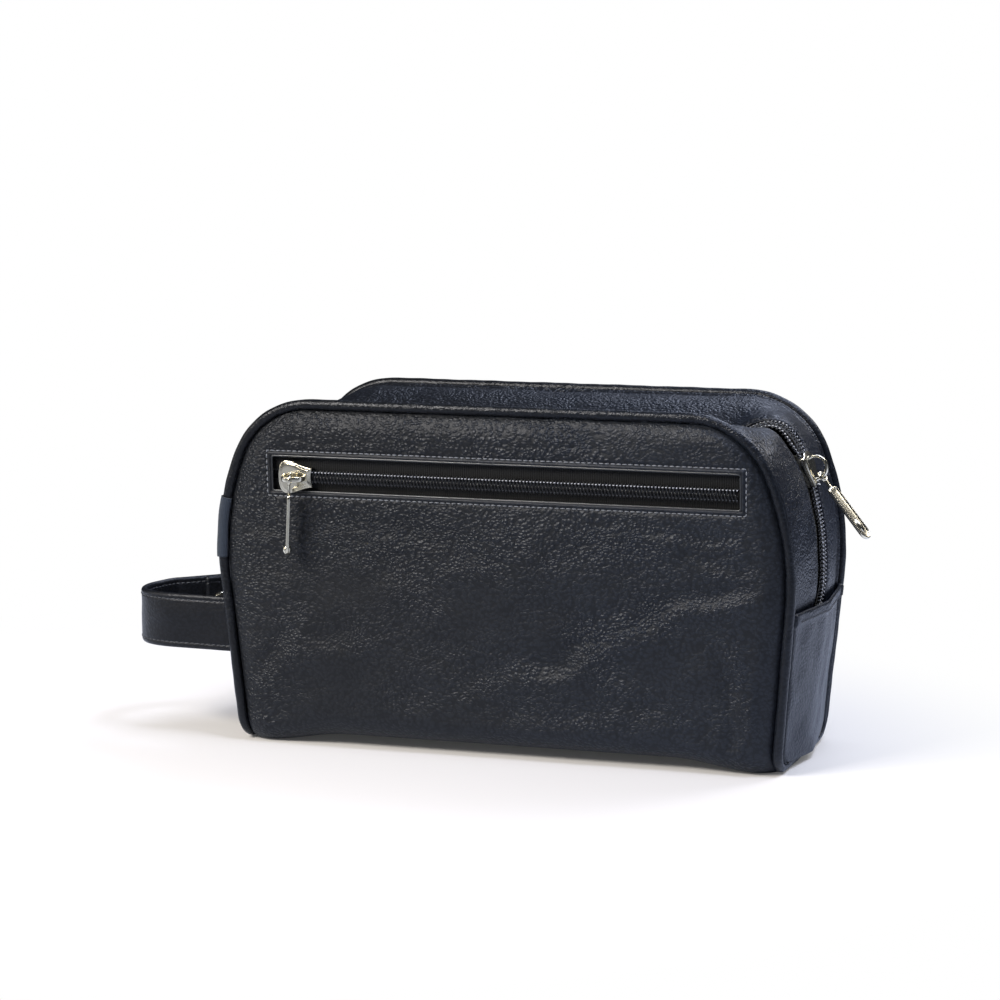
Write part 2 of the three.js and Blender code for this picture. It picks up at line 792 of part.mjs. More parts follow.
function addPocket() {
  const { tapeReach } = zipSides;
  const reach = halfDepth(chainHeight) + crown;
  const up = point(0, -sin(faceTilt), cos(faceTilt));
  const out = point(0, -cos(faceTilt), -sin(faceTilt));
  const pocket = frameAt(point(0, -reach, chainHeight), point(1, 0, 0), up, out);
  bag.add(pocket);
  const place = (x, y, level) => point(x, y, level - pocketSink);
  const ends = [windowLeft - underLeather, windowRight + leather];
  const tapeLevel = tapeTop - clearance;
  const toTop = windowTop - chainHeight;
  const toBottom = chainHeight - windowBottom;
  const rows = {
    upper: { side: 1, edgeY: toTop + underLeather },
    lower: { side: -1, edgeY: toBottom + underLeather },
  };
  const steps = 2 * Math.round((pocketPath.right - pocketPath.left) / pocketPitch);
  for (const [name, { side, edgeY }] of Object.entries(rows)) {
    const strips = shell(ends, [side * edgeY, side * tapeReach], place, tapeLevel, tapeLevel - tape);
    add("pocket_tape_" + name, strips, "tape", pocket);
    const phase = side > 0 ? 0 : 1;
    const coil = coilRow(steps, phase, (step, fromChain, level) =>
      place(mix(pocketPath.left, pocketPath.right, step / steps), -side * fromChain, level),
    );
    add("pocket_coil_" + name, coil, "coil", pocket);
  }

  const slider = frameAt(
    point(pocketSliderX, 0, -pocketSink),
    point(-1, 0, 0),
    point(0, -1, 0),
    point(0, 0, 1),
  );
  pocket.add(slider);
  add("pocket_slider_body", sliderBody(tailHalfWidth, pocketUnder), "nickel", slider);
  add("pocket_slider_crown", crownBail(), "nickel", slider);
  const hang = point(-sin(pullLean), -cos(pullLean), 0);
  const hole = point(cos(pullLean), -sin(pullLean), 0);
  const apex = point(slider.position.x, 0, crownCentre + crownRadius - pocketSink);
  const tab = frameAt(apex, hang, hole.clone().cross(hang), hole);
  pocket.add(tab);
  add("pocket_pull_tab", pullTab(), "nickel", tab);

  // The pocket's bag: a front leaf under the lower tape, and a back leaf from the upper tape down
  const room = noseHalfWidth + 2 * clearance;
  const leafTop = tapeLevel - tape - clearance;
  const leafBack = pocketUnder - plate - clearance;
  const leafFront = leafBack + lining + clearance;
  const leaf = (top, turn, level) => {
    const heights = [top, top - turn, top - 2 * turn, -pocketBag];
    const deep = (y) => mix(leafTop, level, min(1, (top - y) / turn));
    return { heights, at: (x, y, step) => place(x, y, deep(y) - step) };
  };
  const front = leaf(-room, overrun, leafFront);
  const back = leaf(toTop + underLeather, overrun, leafBack);
  const sides = ends;
  const leaves = { pocket_lining_front: front, pocket_lining_back: back };
  for (const [name, { heights, at }] of Object.entries(leaves))
    add(name, shell(sides, heights, at, 0, lining), "lining", pocket);
}

// Wrist strap: a band from the front left seam round a tight bend to a free end, which snaps on to a
// short tab from the rear left seam
const strapFloor = strapMiddle - strapWidth / 2;
const strapTop = strapMiddle + strapWidth / 2;
const strapEdge = edge(strapMiddle, 0);
const strapStand = gussetStand + clearance + clearance;
const strapRootY = halfDepth(strapMiddle) - seamInset - strapThickness / 2 - clearance;
const routeShares = [
  [0, -1],
  [0.32, -1.01],
  [0.62, -0.985],
  [0.83, -0.87],
  [0.955, -0.65],
  [0.99, -0.4],
  [0.965, -0.16],
];
const snapShare = 0.55;
const tabPastSnap = 8;
const endPastSnap = 14;
const foldFromSnap = 18;
const foldRun = 3;

// The tab runs out diagonally from the rear seam; the free end lies parallel to it, one gap outside
const outOfSide = (share) => -strapEdge - strapStand - share * (strapReach - strapStand);
const snapAt = point(outOfSide(snapShare), 0, 0);
snapAt.y = strapRootY - abs(snapAt.x - outOfSide(0));
const away = point(outOfSide(0), strapRootY, 0).sub(snapAt).normalize().negate();
const outward = point(away.y, -away.x, 0);
const apart = strapThickness + strapGap;
const foldAt = snapAt.clone().addScaledVector(outward, apart).addScaledVector(away, foldFromSnap);
const route = new THREE.CatmullRomCurve3([
  ...routeShares.map(([out, along]) => point(outOfSide(out), along * strapRootY, 0)),
  foldAt.clone().addScaledVector(away, foldRun),
  foldAt,
]);

// A band of leather standing on edge along a line; its seam end leans with the side of the bag
function band(line, steps, leaning, heights) {
  const us = even(0, 1, steps);
  const place = (u, z, level) => {
    const at = line.getPointAt(u);
    const along = line.getTangentAt(u);
    const follow = leaning * max(0, 1 - 2 * u);
    const lean = follow * (edge(strapMiddle, 0) - edge(z, 0));
    return point(at.x - level * along.y + lean, at.y + level * along.x, z);
  };
  return shell(us, heights, place, strapThickness / 2, -strapThickness / 2);
}

function addStrap() {
  const heights = [strapFloor, strapTop];
  add("strap_loop", band(route, 22, 1, heights), "leather");

  const up = point(0, 0, 1);
  const snap = frameAt(snapAt.clone().setZ(strapMiddle), away, up, away.clone().cross(up));
  const shank = snapRadius / 3;
  const peg = new THREE.CylinderGeometry(shank, shank, strapThickness + clearance, 12).rotateX(PI / 2);
  const hole = peg.applyQuaternion(snap.quaternion).translate(...snap.position);
  const root = point(outOfSide(0), strapRootY, 0).addScaledVector(away, strapThickness / 2);
  const tabLine = new THREE.LineCurve3(root, snapAt.clone().addScaledVector(away, tabPastSnap));
  add("strap_rear_tab", cut(band(tabLine, 4, 1, heights), hole), "leather");

  const freeStart = foldAt.clone().addScaledVector(away, -clearance);
  const freeEnd = foldAt.clone().addScaledVector(away, -foldFromSnap - endPastSnap);
  add("strap_free_end", band(new THREE.LineCurve3(freeStart, freeEnd), 4, 0, heights), "leather");
  addSnap(snap, shank - clearance);
}

// Snap: rivet ring and stud on the tab, socket and cap on the free end, turned about their common axis
function addSnap(holder, shank) {
  bag.add(holder);
  const half = strapThickness / 2;
  const rim = 0.6;
  const turned = (profile) => {
    const points = profile.map(([radius, level]) => new THREE.Vector2(radius, level));
    return new THREE.LatheGeometry([...points, points[0]], 16).rotateX(PI / 2);
  };
  const ringOut = -half - clearance;
  const shankTop = half - clearance;
  const rivet = [
    [shank / 2, ringOut - rim],
    [snapRadius - rim, ringOut - 2 * rim],
    [snapRadius, ringOut],
    [shank, ringOut],
    [shank, shankTop],
    [shank / 2, shankTop],
  ];
  add("snap_rivet", turned(rivet), "nickel", holder);
  const studFoot = half + clearance;
  const studTop = half + strapGap - clearance;
  const stud = [
    [0, studFoot],
    [snapRadius - rim, studFoot],
    [snapRadius - rim, studFoot + rim],
    [shank, studFoot + rim],
    [shank + rim / 2, studTop - rim],
    [shank, studTop],
    [0, studTop],
  ];
  add("snap_stud", turned(stud), "nickel", holder);
  const socketFoot = studFoot + rim + clearance;
  const socketTop = half + strapGap - clearance;
  const socketBore = shank + rim / 2 + clearance;
  const socket = [
    [socketBore, socketFoot],
    [snapRadius - rim, socketFoot],
    [snapRadius, socketTop],
    [socketBore, socketTop],
  ];
  add("snap_socket", turned(socket), "nickel", holder);
  const capFoot = half + strapGap + strapThickness + clearance;
  const cap = [
    [0, capFoot],
    [snapRadius, capFoot],
    [snapRadius + rim, capFoot + rim],
    [snapRadius / 2, capFoot + 3 * rim],
    [0, capFoot + 3 * rim + rim / 2],
  ];
  add("snap_cap", turned(cap), "nickel", holder);
}

// Side label: a blank folded cloth tag that wraps the front piping on the left side
const label = { low: 84.5, length: 27, thickness: 0.5, from: radians(-58), to: radians(140) };

function addLabel() {
  const alongs = even(alongAt(label.low), alongAt(label.low + label.length), 2);
  const around = even(label.from, label.to, 7);
  const place = (along, turn, level) => {
    const { x, z, outX, outZ } = seam(seamLength - along);
    const radius = pipingRadius + clearance + level;
    const out = radius * sin(turn);
    return point(x + out * outX, -halfDepth(z) - radius * cos(turn), z + out * outZ);
  };
  add("label_tab", shell(alongs, around, place, label.thickness, 0), "label");
}

addPanels();
addLinings();
addSides();
addZipGusset();
addMainSlider();
addPocket();
addStrap();
addLabel();

export default bag;
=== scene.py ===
# A black leather toiletry bag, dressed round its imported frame. Metres, +Z up, the front faces -Y.
# Each section makes one piece, or one group of like pieces, in the order that the bag is sewn.

import math

import bmesh
import bpy
import numpy as np
from mathutils import Matrix


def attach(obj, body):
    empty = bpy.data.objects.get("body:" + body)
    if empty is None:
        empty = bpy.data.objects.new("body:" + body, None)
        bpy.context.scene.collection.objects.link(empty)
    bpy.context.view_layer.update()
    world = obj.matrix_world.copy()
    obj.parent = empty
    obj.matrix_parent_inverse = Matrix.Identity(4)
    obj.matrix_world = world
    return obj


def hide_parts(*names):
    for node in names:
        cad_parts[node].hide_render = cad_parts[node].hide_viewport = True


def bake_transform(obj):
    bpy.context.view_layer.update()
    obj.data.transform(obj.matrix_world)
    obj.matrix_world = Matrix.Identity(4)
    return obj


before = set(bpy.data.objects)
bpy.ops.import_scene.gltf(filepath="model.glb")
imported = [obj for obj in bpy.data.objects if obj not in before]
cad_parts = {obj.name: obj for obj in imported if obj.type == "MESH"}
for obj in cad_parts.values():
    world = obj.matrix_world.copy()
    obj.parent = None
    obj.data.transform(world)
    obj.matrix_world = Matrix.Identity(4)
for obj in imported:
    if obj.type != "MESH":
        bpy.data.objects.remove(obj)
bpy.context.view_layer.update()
MM = 0.001

# Camera, lights and floor
# A long lens a little to the right of the front and slightly above, as a studio product photograph
# is taken. A large soft box stands over the left shoulder, weaker cards on the right and behind.
CAMERA_DISTANCE = 1.4
CAMERA_AZIMUTH, CAMERA_ELEVATION = math.radians(18.3), math.radians(9.1)
CAMERA_TARGET = np.array([0.0, 0.0, 0.0765])
CAMERA_LENS, CAMERA_SENSOR, CAMERA_REACH = 112.3, 36, 20
CAMERA_SHIFT = (-0.0336, 0.072)
FLOOR_HALF = 3.0
LAMPS = {
    # name: azimuth, elevation, distance, width, height, power, colour
    "key_box": (-30, 34, 1.1, 0.5, 0.35, 14.0, "#fffaf2"),
    "left_card": (-70, 14, 1.3, 0.5, 0.6, 2.0, "#fffaf2"),
    "right_card": (84, 4, 1.0, 0.35, 0.4, 0.5, "#dfe8ff"),
    "top_box": (60, 66, 1.2, 0.4, 0.4, 8.0, "#dfe8ff"),
    "back_card": (156, 50, 1.3, 1.2, 0.55, 12.0, "#dfe8ff"),
    "rim_card": (140, 34, 1.3, 0.3, 0.25, 2.5, "#fffaf2"),
}


def toward(azimuth, elevation):
    """The unit vector to a place at an azimuth, counted from -Y towards +X, and an elevation."""
    flat = math.cos(elevation)
    return np.array([math.sin(azimuth) * flat, -math.cos(azimuth) * flat, math.sin(elevation)])


def unit(vectors):
    """Vectors drawn out or in to length one."""
    return vectors / np.linalg.norm(vectors, axis=-1, keepdims=True)


def aim(thing, place):
    """Puts a camera or lamp at a place and turns its -Z axis to the bag, with its Y axis up."""
    back = unit(place - CAMERA_TARGET)
    right = unit(np.cross([0.0, 0.0, 1.0], back))
    columns = (right, np.cross(back, right), back, place)
    thing.matrix_world = Matrix([*([column[i] for column in columns] for i in range(3)), [0, 0, 0, 1]])


def linear(colour):
    """An sRGB hex colour as the linear RGBA that a shader takes."""
    parts = [int(colour[i:i + 2], 16) / 255 for i in (1, 3, 5)]
    bent = [p / 12.92 if p <= 0.04045 else ((p + 0.055) / 1.055) ** 2.4 for p in parts]
    return (*bent, 1.0)


def node(tree, kind, *feeds, **settings):
    """Adds a shader node. Feeds fill its sockets in order, and settings name its properties or its
    sockets. A socket takes a value, a hex colour, another socket, or a node's first output in use."""
    made = tree.nodes.new("ShaderNode" + kind)
    sockets = dict(enumerate(feeds))
    for key, value in settings.items():
        if hasattr(made, key):
            setattr(made, key, value)
        else:
            sockets[key.replace("_", " ")] = value
    for key, value in sockets.items():
        source = linear(value) if isinstance(value, str) else value
        if isinstance(value, bpy.types.Node):
            source = next(output for output in value.outputs if output.enabled)
        if isinstance(source, bpy.types.NodeSocket):
            tree.links.new(source, made.inputs[key])
        else:
            made.inputs[key].default_value = source
    return made


def new_material(name, coordinates="Object"):
    """An empty node material, its tree and its coordinates."""
    material = bpy.data.materials.new(name)
    material.use_nodes = True
    tree = material.node_tree
    tree.nodes.clear()
    return material, tree, node(tree, "TexCoord").outputs[coordinates]


def surface(tree, relief, strength, depth, **sockets):
    """Ends a material with a principled surface, bumped by a relief whose depth is in metres."""
    bump = node(tree, "Bump", Height=relief, Strength=strength, Distance=depth)
    node(tree, "OutputMaterial", Surface=node(tree, "BsdfPrincipled", Normal=bump, **sockets))


camera = bpy.data.objects.new("camera", bpy.data.cameras.new("camera"))
bpy.context.collection.objects.link(camera)
camera.data.lens = CAMERA_LENS
camera.data.sensor_width = CAMERA_SENSOR
camera.data.shift_x, camera.data.shift_y = CAMERA_SHIFT
camera.data.clip_end = CAMERA_REACH
aim(camera, CAMERA_TARGET + CAMERA_DISTANCE * toward(CAMERA_AZIMUTH, CAMERA_ELEVATION))
bpy.context.scene.camera = camera
bpy.context.scene.view_settings.view_transform = "Standard"

for name, (azimuth, elevation, distance, width, height, power, colour) in LAMPS.items():
    lamp = bpy.data.objects.new(name, bpy.data.lights.new(name, "AREA"))
    bpy.context.collection.objects.link(lamp)
    lamp.data.shape = "RECTANGLE"
    lamp.data.size, lamp.data.size_y, lamp.data.energy = width, height, power
    lamp.data.color = linear(colour)[:3]
    aim(lamp, CAMERA_TARGET + distance * toward(math.radians(azimuth), math.radians(elevation)))

world = bpy.data.worlds.new("studio")
bpy.context.scene.world = world
world.use_nodes = True
sky = world.node_tree
sky.nodes.clear()
seen = node(sky, "LightPath").outputs
mirrored = node(sky, "Mix", data_type="RGBA", Factor=seen["Is Glossy Ray"], A="#9a9da3", B="#2c2e32")
direct = node(sky, "Math", seen["Is Camera Ray"], seen["Is Transmission Ray"], operation="MAXIMUM")
around = node(sky, "Mix", data_type="RGBA", Factor=direct, A=mirrored, B="#ffffff")
backdrop = node(sky, "Background", Color=around, Strength=1.0)
node(sky, "OutputWorld", Surface=backdrop)

floor_mesh = bpy.data.meshes.new("floor")
corners = [(-1, -1), (1, -1), (1, 1), (-1, 1)]
floor_mesh.from_pydata([(x * FLOOR_HALF, y * FLOOR_HALF, 0) for x, y in corners], [], [(0, 1, 2, 3)])
floor = bpy.data.objects.new("floor", floor_mesh)
bpy.context.collection.objects.link(floor)
paper, tree, place = new_material("white_paper_sweep")
seen = node(tree, "LightPath").outputs
tone = node(tree, "Mix", data_type="RGBA", Factor=seen["Is Camera Ray"], A="#d8dde8",
            B=(0.68, 0.656, 0.638, 1))
depth = node(tree, "SeparateXYZ", place).outputs["Y"]
# Painted shade in reflections: what the bag mirrors of the floor is painted darker close in front of it and
# far behind it
ahead = node(tree, "MapRange", depth, -0.3, 0.1, 0.75, 0.0, interpolation_type="SMOOTHSTEP")
beyond = node(tree, "MapRange", depth, 0.3, 0.6, 0.0, 0.95, interpolation_type="SMOOTHSTEP")
outer = node(tree, "Math", ahead, beyond, operation="MAXIMUM")
dim = node(tree, "Math", outer, seen["Is Glossy Ray"], operation="MULTIPLY")
matt = node(tree, "BsdfDiffuse", Color=node(tree, "Mix", data_type="RGBA", Factor=dim, A=tone, B="#202226"))
# Away from the bag's shadows the camera sees the sweep burnt out to white
from_left = node(tree, "VectorMath", place, (0.1, 0.06, 0), operation="ADD")
far = node(tree, "VectorMath", from_left, operation="LENGTH")
wide = node(tree, "MapRange", far, 0.2, 0.38, 0.04, 1.0, interpolation_type="SMOOTHSTEP")
share = node(tree, "Math", seen["Is Camera Ray"], wide, operation="MULTIPLY")
glow = node(tree, "Emission", Strength=1.0)
node(tree, "OutputMaterial", Surface=node(tree, "MixShader", share, matt, glow))
floor_mesh.materials.append(paper)

# Front and back panels
# Two cuts of full grain cowhide, 1.6 mm thick, embossed with a pebble grain and drum dyed black.
# Each is sewn into the piped seam round its sides and top, and rolled under at the bottom.
WIDTH, HEIGHT = 260.0, 154.5
BOTTOM_DEPTH, TOP_DEPTH = 84.4, 104.0
SIDE_RADIUS, SIDE_LEAN, CORNER_START = 120.0, math.radians(5), math.radians(23)
PIPING_RADIUS = 2.2
SEAM_INSET = 2.5
LEATHER = 1.6
ROLL_RADIUS = 12.0
CROWN, CROWN_REACH = 4.0, 11.0
LAP_WIDTH = 9.0
BOW = 4.5

side_x, side_z = WIDTH / 2 - SIDE_RADIUS, HEIGHT * 0.547
taper_top = side_z - SIDE_RADIUS * math.sin(SIDE_LEAN)
side_top = side_z + SIDE_RADIUS * math.sin(CORNER_START)
corner_radius = (HEIGHT - side_top) / (1 - math.sin(CORNER_START))
corner_x = side_x + (SIDE_RADIUS - corner_radius) * math.cos(CORNER_START)
corner_z = HEIGHT - corner_radius
taper_length = taper_top / math.cos(SIDE_LEAN)
side_length = SIDE_RADIUS * (SIDE_LEAN + CORNER_START)
corner_length = corner_radius * (math.pi / 2 - CORNER_START)
seam_length = 2 * (taper_length + side_length + corner_length + corner_x)


def seam(along):
    """The seam line at a length along it: straight up the leaning side, round the side arc and the
    tighter corner arc, then flat to the middle of the top, and mirrored down the other side. Returns
    x, z and the outward direction's x and z, in millimetres."""
    along = np.asarray(along, float)
    side = np.where(along > seam_length / 2, -1.0, 1.0)
    run = np.where(side < 0, seam_length - along, along)
    on_side = run - taper_length
    on_corner = on_side - side_length
    in_corner = on_corner > 0
    angle = np.where(on_side > 0, on_side / SIDE_RADIUS - SIDE_LEAN, -SIDE_LEAN)
    turned = np.minimum(CORNER_START + on_corner / corner_radius, math.pi / 2)
    angle = np.where(in_corner, turned, angle)
    slide = np.where(on_side > 0, 0.0, on_side)
    slide = np.where(in_corner, np.maximum(0.0, on_corner - corner_length), slide)
    x = np.where(in_corner, corner_x, side_x)
    z = np.where(in_corner, corner_z, side_z)
    radius = np.where(in_corner, corner_radius, SIDE_RADIUS)
    x = x + radius * np.cos(angle) - slide * np.sin(angle)
    z = z + radius * np.sin(angle) + slide * np.cos(angle)
    return side * x, z, side * np.cos(angle), np.sin(angle)


def along_at(z):
    """The length along the right side's seam line at a height below the corner."""
    z = np.asarray(z, float)
    turned = np.arcsin((np.maximum(z, taper_top) - side_z) / SIDE_RADIUS) + SIDE_LEAN
    on_arc = taper_length + SIDE_RADIUS * turned
    return np.where(z < taper_top, z / math.cos(SIDE_LEAN), on_arc)


def edge(z, inset):
    """Half the outline's width at a height, drawn in by an inset: the lean, then the two arcs."""
    z = np.asarray(z, float)
    side, corner = SIDE_RADIUS - inset, corner_radius - inset
    low = side_z - side * math.sin(SIDE_LEAN)
    lean = side_x + side * math.cos(SIDE_LEAN) - (low - z) * math.tan(SIDE_LEAN)
    arc = side_x + np.sqrt(np.maximum(0, side ** 2 - (z - side_z) ** 2))
    tight = corner_x + np.sqrt(np.maximum(0, corner ** 2 - (z - corner_z) ** 2))
    return np.where(z < low, lean, np.where(z < side_z + side * math.sin(CORNER_START), arc, tight))


def half_depth(z):
    """Half the bag's depth at a height: it widens evenly from the bottom to the top."""
    return (BOTTOM_DEPTH + (TOP_DEPTH - BOTTOM_DEPTH) * np.asarray(z, float) / HEIGHT) / 2


def smooth(value, start, end):
    """0 before start, 1 after end, and an even ease between."""
    share = np.clip((np.asarray(value, float) - start) / (end - start), 0, 1)
    return share * share * (3 - 2 * share)


def ripple(x, y, seed, size):
    """Soft irregular unevenness between about -1 and 1: a sum of sine waves that cross at many
    angles, with lengths near a size, from a fixed seed."""
    dice = np.random.default_rng(seed)
    total = np.zeros(np.broadcast(x, y).shape)
    for angle, stretch, phase in dice.uniform([0, 0.7, 0], [math.pi, 1.6, 6.28], (9, 3)):
        total = total + np.sin((x * math.cos(angle) + y * math.sin(angle)) * 6.28 / (size * stretch) + phase)
    return total / 3.5


def new_piece(name, spots, faces, material, body, replaced=(), corner_uv=None):
    """An object from points in millimetres and faces, on a body and in a material slot. corner_uv
    gives each corner of each face its place along and across in metres."""
    mesh = bpy.data.meshes.new(name)
    mesh.from_pydata((spots.reshape(-1, 3) * MM).tolist(), [], faces)
    if corner_uv is not None:
        layer = mesh.uv_layers.new(name="along_across")
        layer.data.foreach_set("uv", corner_uv.astype(np.float32).ravel())
    mesh.validate()
    mesh.shade_smooth()
    mesh.materials.append(material)
    piece = bpy.data.objects.new(name, mesh)
    bpy.context.collection.objects.link(piece)
    if body:
        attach(piece, body)
    if replaced:
        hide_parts(*replaced)
    return piece


def set_grain(piece, grain):
    """Says at each point how far the leather's pebbles stand up."""
    raised = piece.data.attributes.new("grain", "FLOAT", "POINT")
    level = np.broadcast_to(np.asarray(grain, np.float32).ravel(), (len(piece.data.vertices),))
    raised.data.foreach_set("value", np.ascontiguousarray(level))


def sheet(name, points, material, replaced=(), thickness=0.0, flip=False, uv=None,
          hole=None, grain=None, joins=(False, False), offset=-1):
    """A piece from a grid of points in millimetres, one quad between neighbours, turned inside out by
    flip. uv gives each point its place along and across, hole leaves out quads, joins brings opposite
    ends together, and a thickness makes a wall to the inside of the faces."""
    if flip:
        points, uv, hole, grain = (part[:, ::-1] if np.ndim(part) > 1 else part
                                   for part in (points, uv, hole, grain))
    rows, columns = points.shape[:2]
    number = np.arange(rows * columns).reshape(rows, columns)
    number = np.vstack([number, number[:1]]) if joins[0] else number
    number = np.hstack([number, number[:, :1]]) if joins[1] else number
    quads = np.stack([number[:-1, :-1], number[1:, :-1], number[1:, 1:], number[:-1, 1:]], -1)
    quads = (quads if hole is None else quads[~hole]).reshape(-1, 4)
    corner_uv = None if uv is None else uv.reshape(-1, 2)[quads.reshape(-1)]
    piece = new_piece(name, points, quads.tolist(), material, "root", replaced, corner_uv)
    if grain is not None:
        set_grain(piece, grain)
    if thickness:
        wall = piece.modifiers.new("thickness", "SOLIDIFY")
        wall.thickness, wall.offset, wall.use_rim, wall.use_even_offset = thickness * MM, offset, True, True
    return piece


def leather_material(name, base, light, grain, depth, gloss):
    """Drum dyed full grain leather: pebbles of a size in millimetres, longer than they are high, each
    a low dome with a fine crease round it, over a finer grain. The piece's own grain attribute says
    where the pebbles stand up and where the hide is stretched smooth."""
    material, tree, place = new_material(name)
    slow = node(tree, "TexNoise", Vector=place, Scale=34.0, Detail=2.0, Roughness=0.6).outputs
    drift = node(tree, "TexNoise", Vector=place, Scale=260.0, Detail=1.0).outputs["Color"]
    shifted = node(tree, "VectorMath", drift, operation="SCALE", Scale=0.0016)
    pulled = node(tree, "VectorMath", slow["Color"], operation="SCALE", Scale=0.010)
    near = node(tree, "VectorMath", shifted, pulled, operation="ADD")
    bent = node(tree, "VectorMath", place, near, operation="ADD")
    stretched = node(tree, "Mapping", Vector=bent, Scale=(0.84, 1, 1.06))
    per_metre = 1000.0 / grain

    pebbles = node(tree, "TexVoronoi", Vector=stretched, feature="F1", Scale=per_metre)
    dome = node(tree, "MapRange", pebbles, 0.1, 0.72, 1.0, 0.0, interpolation_type="SMOOTHSTEP")
    raised = node(tree, "Attribute", attribute_name="grain").outputs["Fac"]
    patch = node(tree, "MapRange", slow["Fac"], 0.35, 0.65, 0.55, 1.25)
    stand = node(tree, "Math", raised, patch, operation="MULTIPLY")
    coarse = node(tree, "Math", dome, stand, operation="MULTIPLY")
    wrinkle = node(tree, "TexVoronoi", Vector=stretched, feature="F1", Scale=per_metre * 0.42)
    roll = node(tree, "Math", wrinkle, 2.0, operation="POWER")
    hollow = node(tree, "Math", roll, stand, operation="MULTIPLY")
    folded = node(tree, "Math", hollow, -1.2, coarse, operation="MULTIPLY_ADD")
    fine = node(tree, "TexNoise", Vector=stretched, Scale=per_metre * 2.6, Detail=2.0, Roughness=0.55)
    relief = node(tree, "Math", fine, 0.3, folded, operation="MULTIPLY_ADD")

    dye = node(tree, "Mix", data_type="RGBA", Factor=slow["Fac"], A=base, B=light)
    # Painted light: the colour turns bluer towards +X, a painted cool reflection on the right side of the bag
    side = node(tree, "SeparateXYZ", place).outputs["X"]
    painted_cool_share = node(tree, "MapRange", side, -0.07, 0.08, 0.0, 1.0, interpolation_type="SMOOTHSTEP")
    cool_light_painted = node(tree, "Mix", data_type="RGBA", blend_type="MULTIPLY", Factor=painted_cool_share, A=dye,
                  B=(1.05, 1.2, 1.45, 1))
    # Painted shade: the colour is darker in the creases round each pebble dome, where shade would fall
    shade = node(tree, "MapRange", dome, 0.0, 0.5, 0.5, 1.0)
    painted_shade_colour = node(tree, "VectorMath", cool_light_painted, operation="SCALE", Scale=shade)
    polish = node(tree, "MapRange", coarse, 0.0, 1.0, gloss + 0.1, gloss - 0.06)
    surface(tree, relief, 1.0, depth * MM, Base_Color=painted_shade_colour, Roughness=polish, IOR=1.5,
            Specular_IOR_Level=0.38, Specular_Tint="#eceef5", Sheen_Weight=0.03,
            Sheen_Roughness=0.45, Sheen_Tint="#5a6f96")
    return material


panel_leather = leather_material("pebbled_cowhide_black", "#111214", "#1b1d21", 1.45, 0.42, 0.40)

# Front pocket window, as a rectangle in the front face, and the rows and columns that draw it crisply
POCKET_DROP, POCKET_WINDOW = 30.75, 15.0
POCKET_SIDE_LEFT, POCKET_SIDE_RIGHT = 20.2, 14.4
TURNED_EDGE, STITCH_OUT = 0.75, 2.6
PANEL_INSET = 1.5
NEAR_WINDOW = [0.0, 0.04, 0.13, 0.28, 0.5, 0.75, 1.1, 1.6, 2.1, 2.35, 2.6, 2.85, 3.1]
NEAR_CORNER = NEAR_WINDOW[:3]
NEAR_SEAM = [0.0, 0.3, 0.7, 1.2, 1.8, 2.5, 3.3]
FOLDS = [
    # from x, z to x, z, then depth and width
    (16, 38, 76, 67, 1.5, 6), (62, 64, 117, 83, 1.9, 5), (30, 54, 80, 78, 0.9, 5),
    (44, 105, 117, 101, 0.9, 3.5), (84, 94, 119, 88, 0.8, 4), (108, 0, 104, 58, 2.0, 4.5),
    (114, 10, 111, 42, 1.0, 2.5), (96, 4, 98, 30, 0.8, 5), (-20, 30, 44, 48, 0.8, 8),
    (-112, 26, -92, 62, 1.0, 4.5), (-106, 40, -66, 54, 0.8, 6), (-118, 94, -84, 97, 0.9, 4),
    (-90, 102, -14, 95, 0.7, 5), (-60, 80, 10, 86, 0.6, 9), (16, 16, 84, 22, 0.9, 7),
]
window_z = HEIGHT - POCKET_DROP
window_low, window_high = window_z - POCKET_WINDOW / 2, window_z + POCKET_WINDOW / 2
window_left = POCKET_SIDE_LEFT - float(edge(window_z, 0))
window_right = float(edge(window_z, 0)) - POCKET_SIDE_RIGHT
roll_depth = float(half_depth(ROLL_RADIUS))
lap_end = roll_depth - ROLL_RADIUS - LAP_WIDTH
face_top = HEIGHT - PANEL_INSET


def steps(start, end, size, near_start=(), near_end=()):
    """Values from start to end about a size apart, with closer ones at given distances from the ends."""
    low = start + (near_start[-1] if near_start else 0)
    high = end - (near_end[-1] if near_end else 0)
    even = np.linspace(low, high, max(2, int(round((high - low) / size)) + 1))
    ends = [end - d for d in reversed(near_end[:-1])] if near_end else []
    return np.array([start + d for d in near_start[:-1]] + list(even) + ends)


def fold_places(x, z):
    """For each fold: its ends' x and z, depth, width and length, then how far a point is along it
    and beside it."""
    for x0, z0, x1, z1, depth, width in FOLDS:
        length = math.hypot(x1 - x0, z1 - z0)
        run = ((x - x0) * (x1 - x0) + (z - z0) * (z1 - z0)) / length
        off = ((x - x0) * (z1 - z0) - (z - z0) * (x1 - x0)) / length
        yield x0, z0, depth, width, length, run, off


def face_creases(x, z):
    """Where the front has been handled: soft diagonal folds near the lower right, a long shallow sag
    across the middle, and two upright wrinkles by the right seam. Each is a line with a round valley
    on one side and a ridge on the other, in millimetres."""
    total = 0.9 * ripple(x, z * 1.4, 11, 110) + 0.3 * ripple(x, z * 1.5, 12, 34) + 0.05 * ripple(x, z, 13, 11)
    for x0, z0, depth, width, length, run, off in fold_places(x, z):
        wander = 2.2 * np.sin(run / 9 + x0) + 0.9 * np.sin(run / 3.7 + z0)
        off = off + wander * width / 6
        fade = smooth(run, -0.15 * length, 0.25 * length) * (1 - smooth(run, 0.7 * length, 1.1 * length))
        total = total + depth * fade * (off / width) * np.exp(-(off / width) ** 2)
    return total


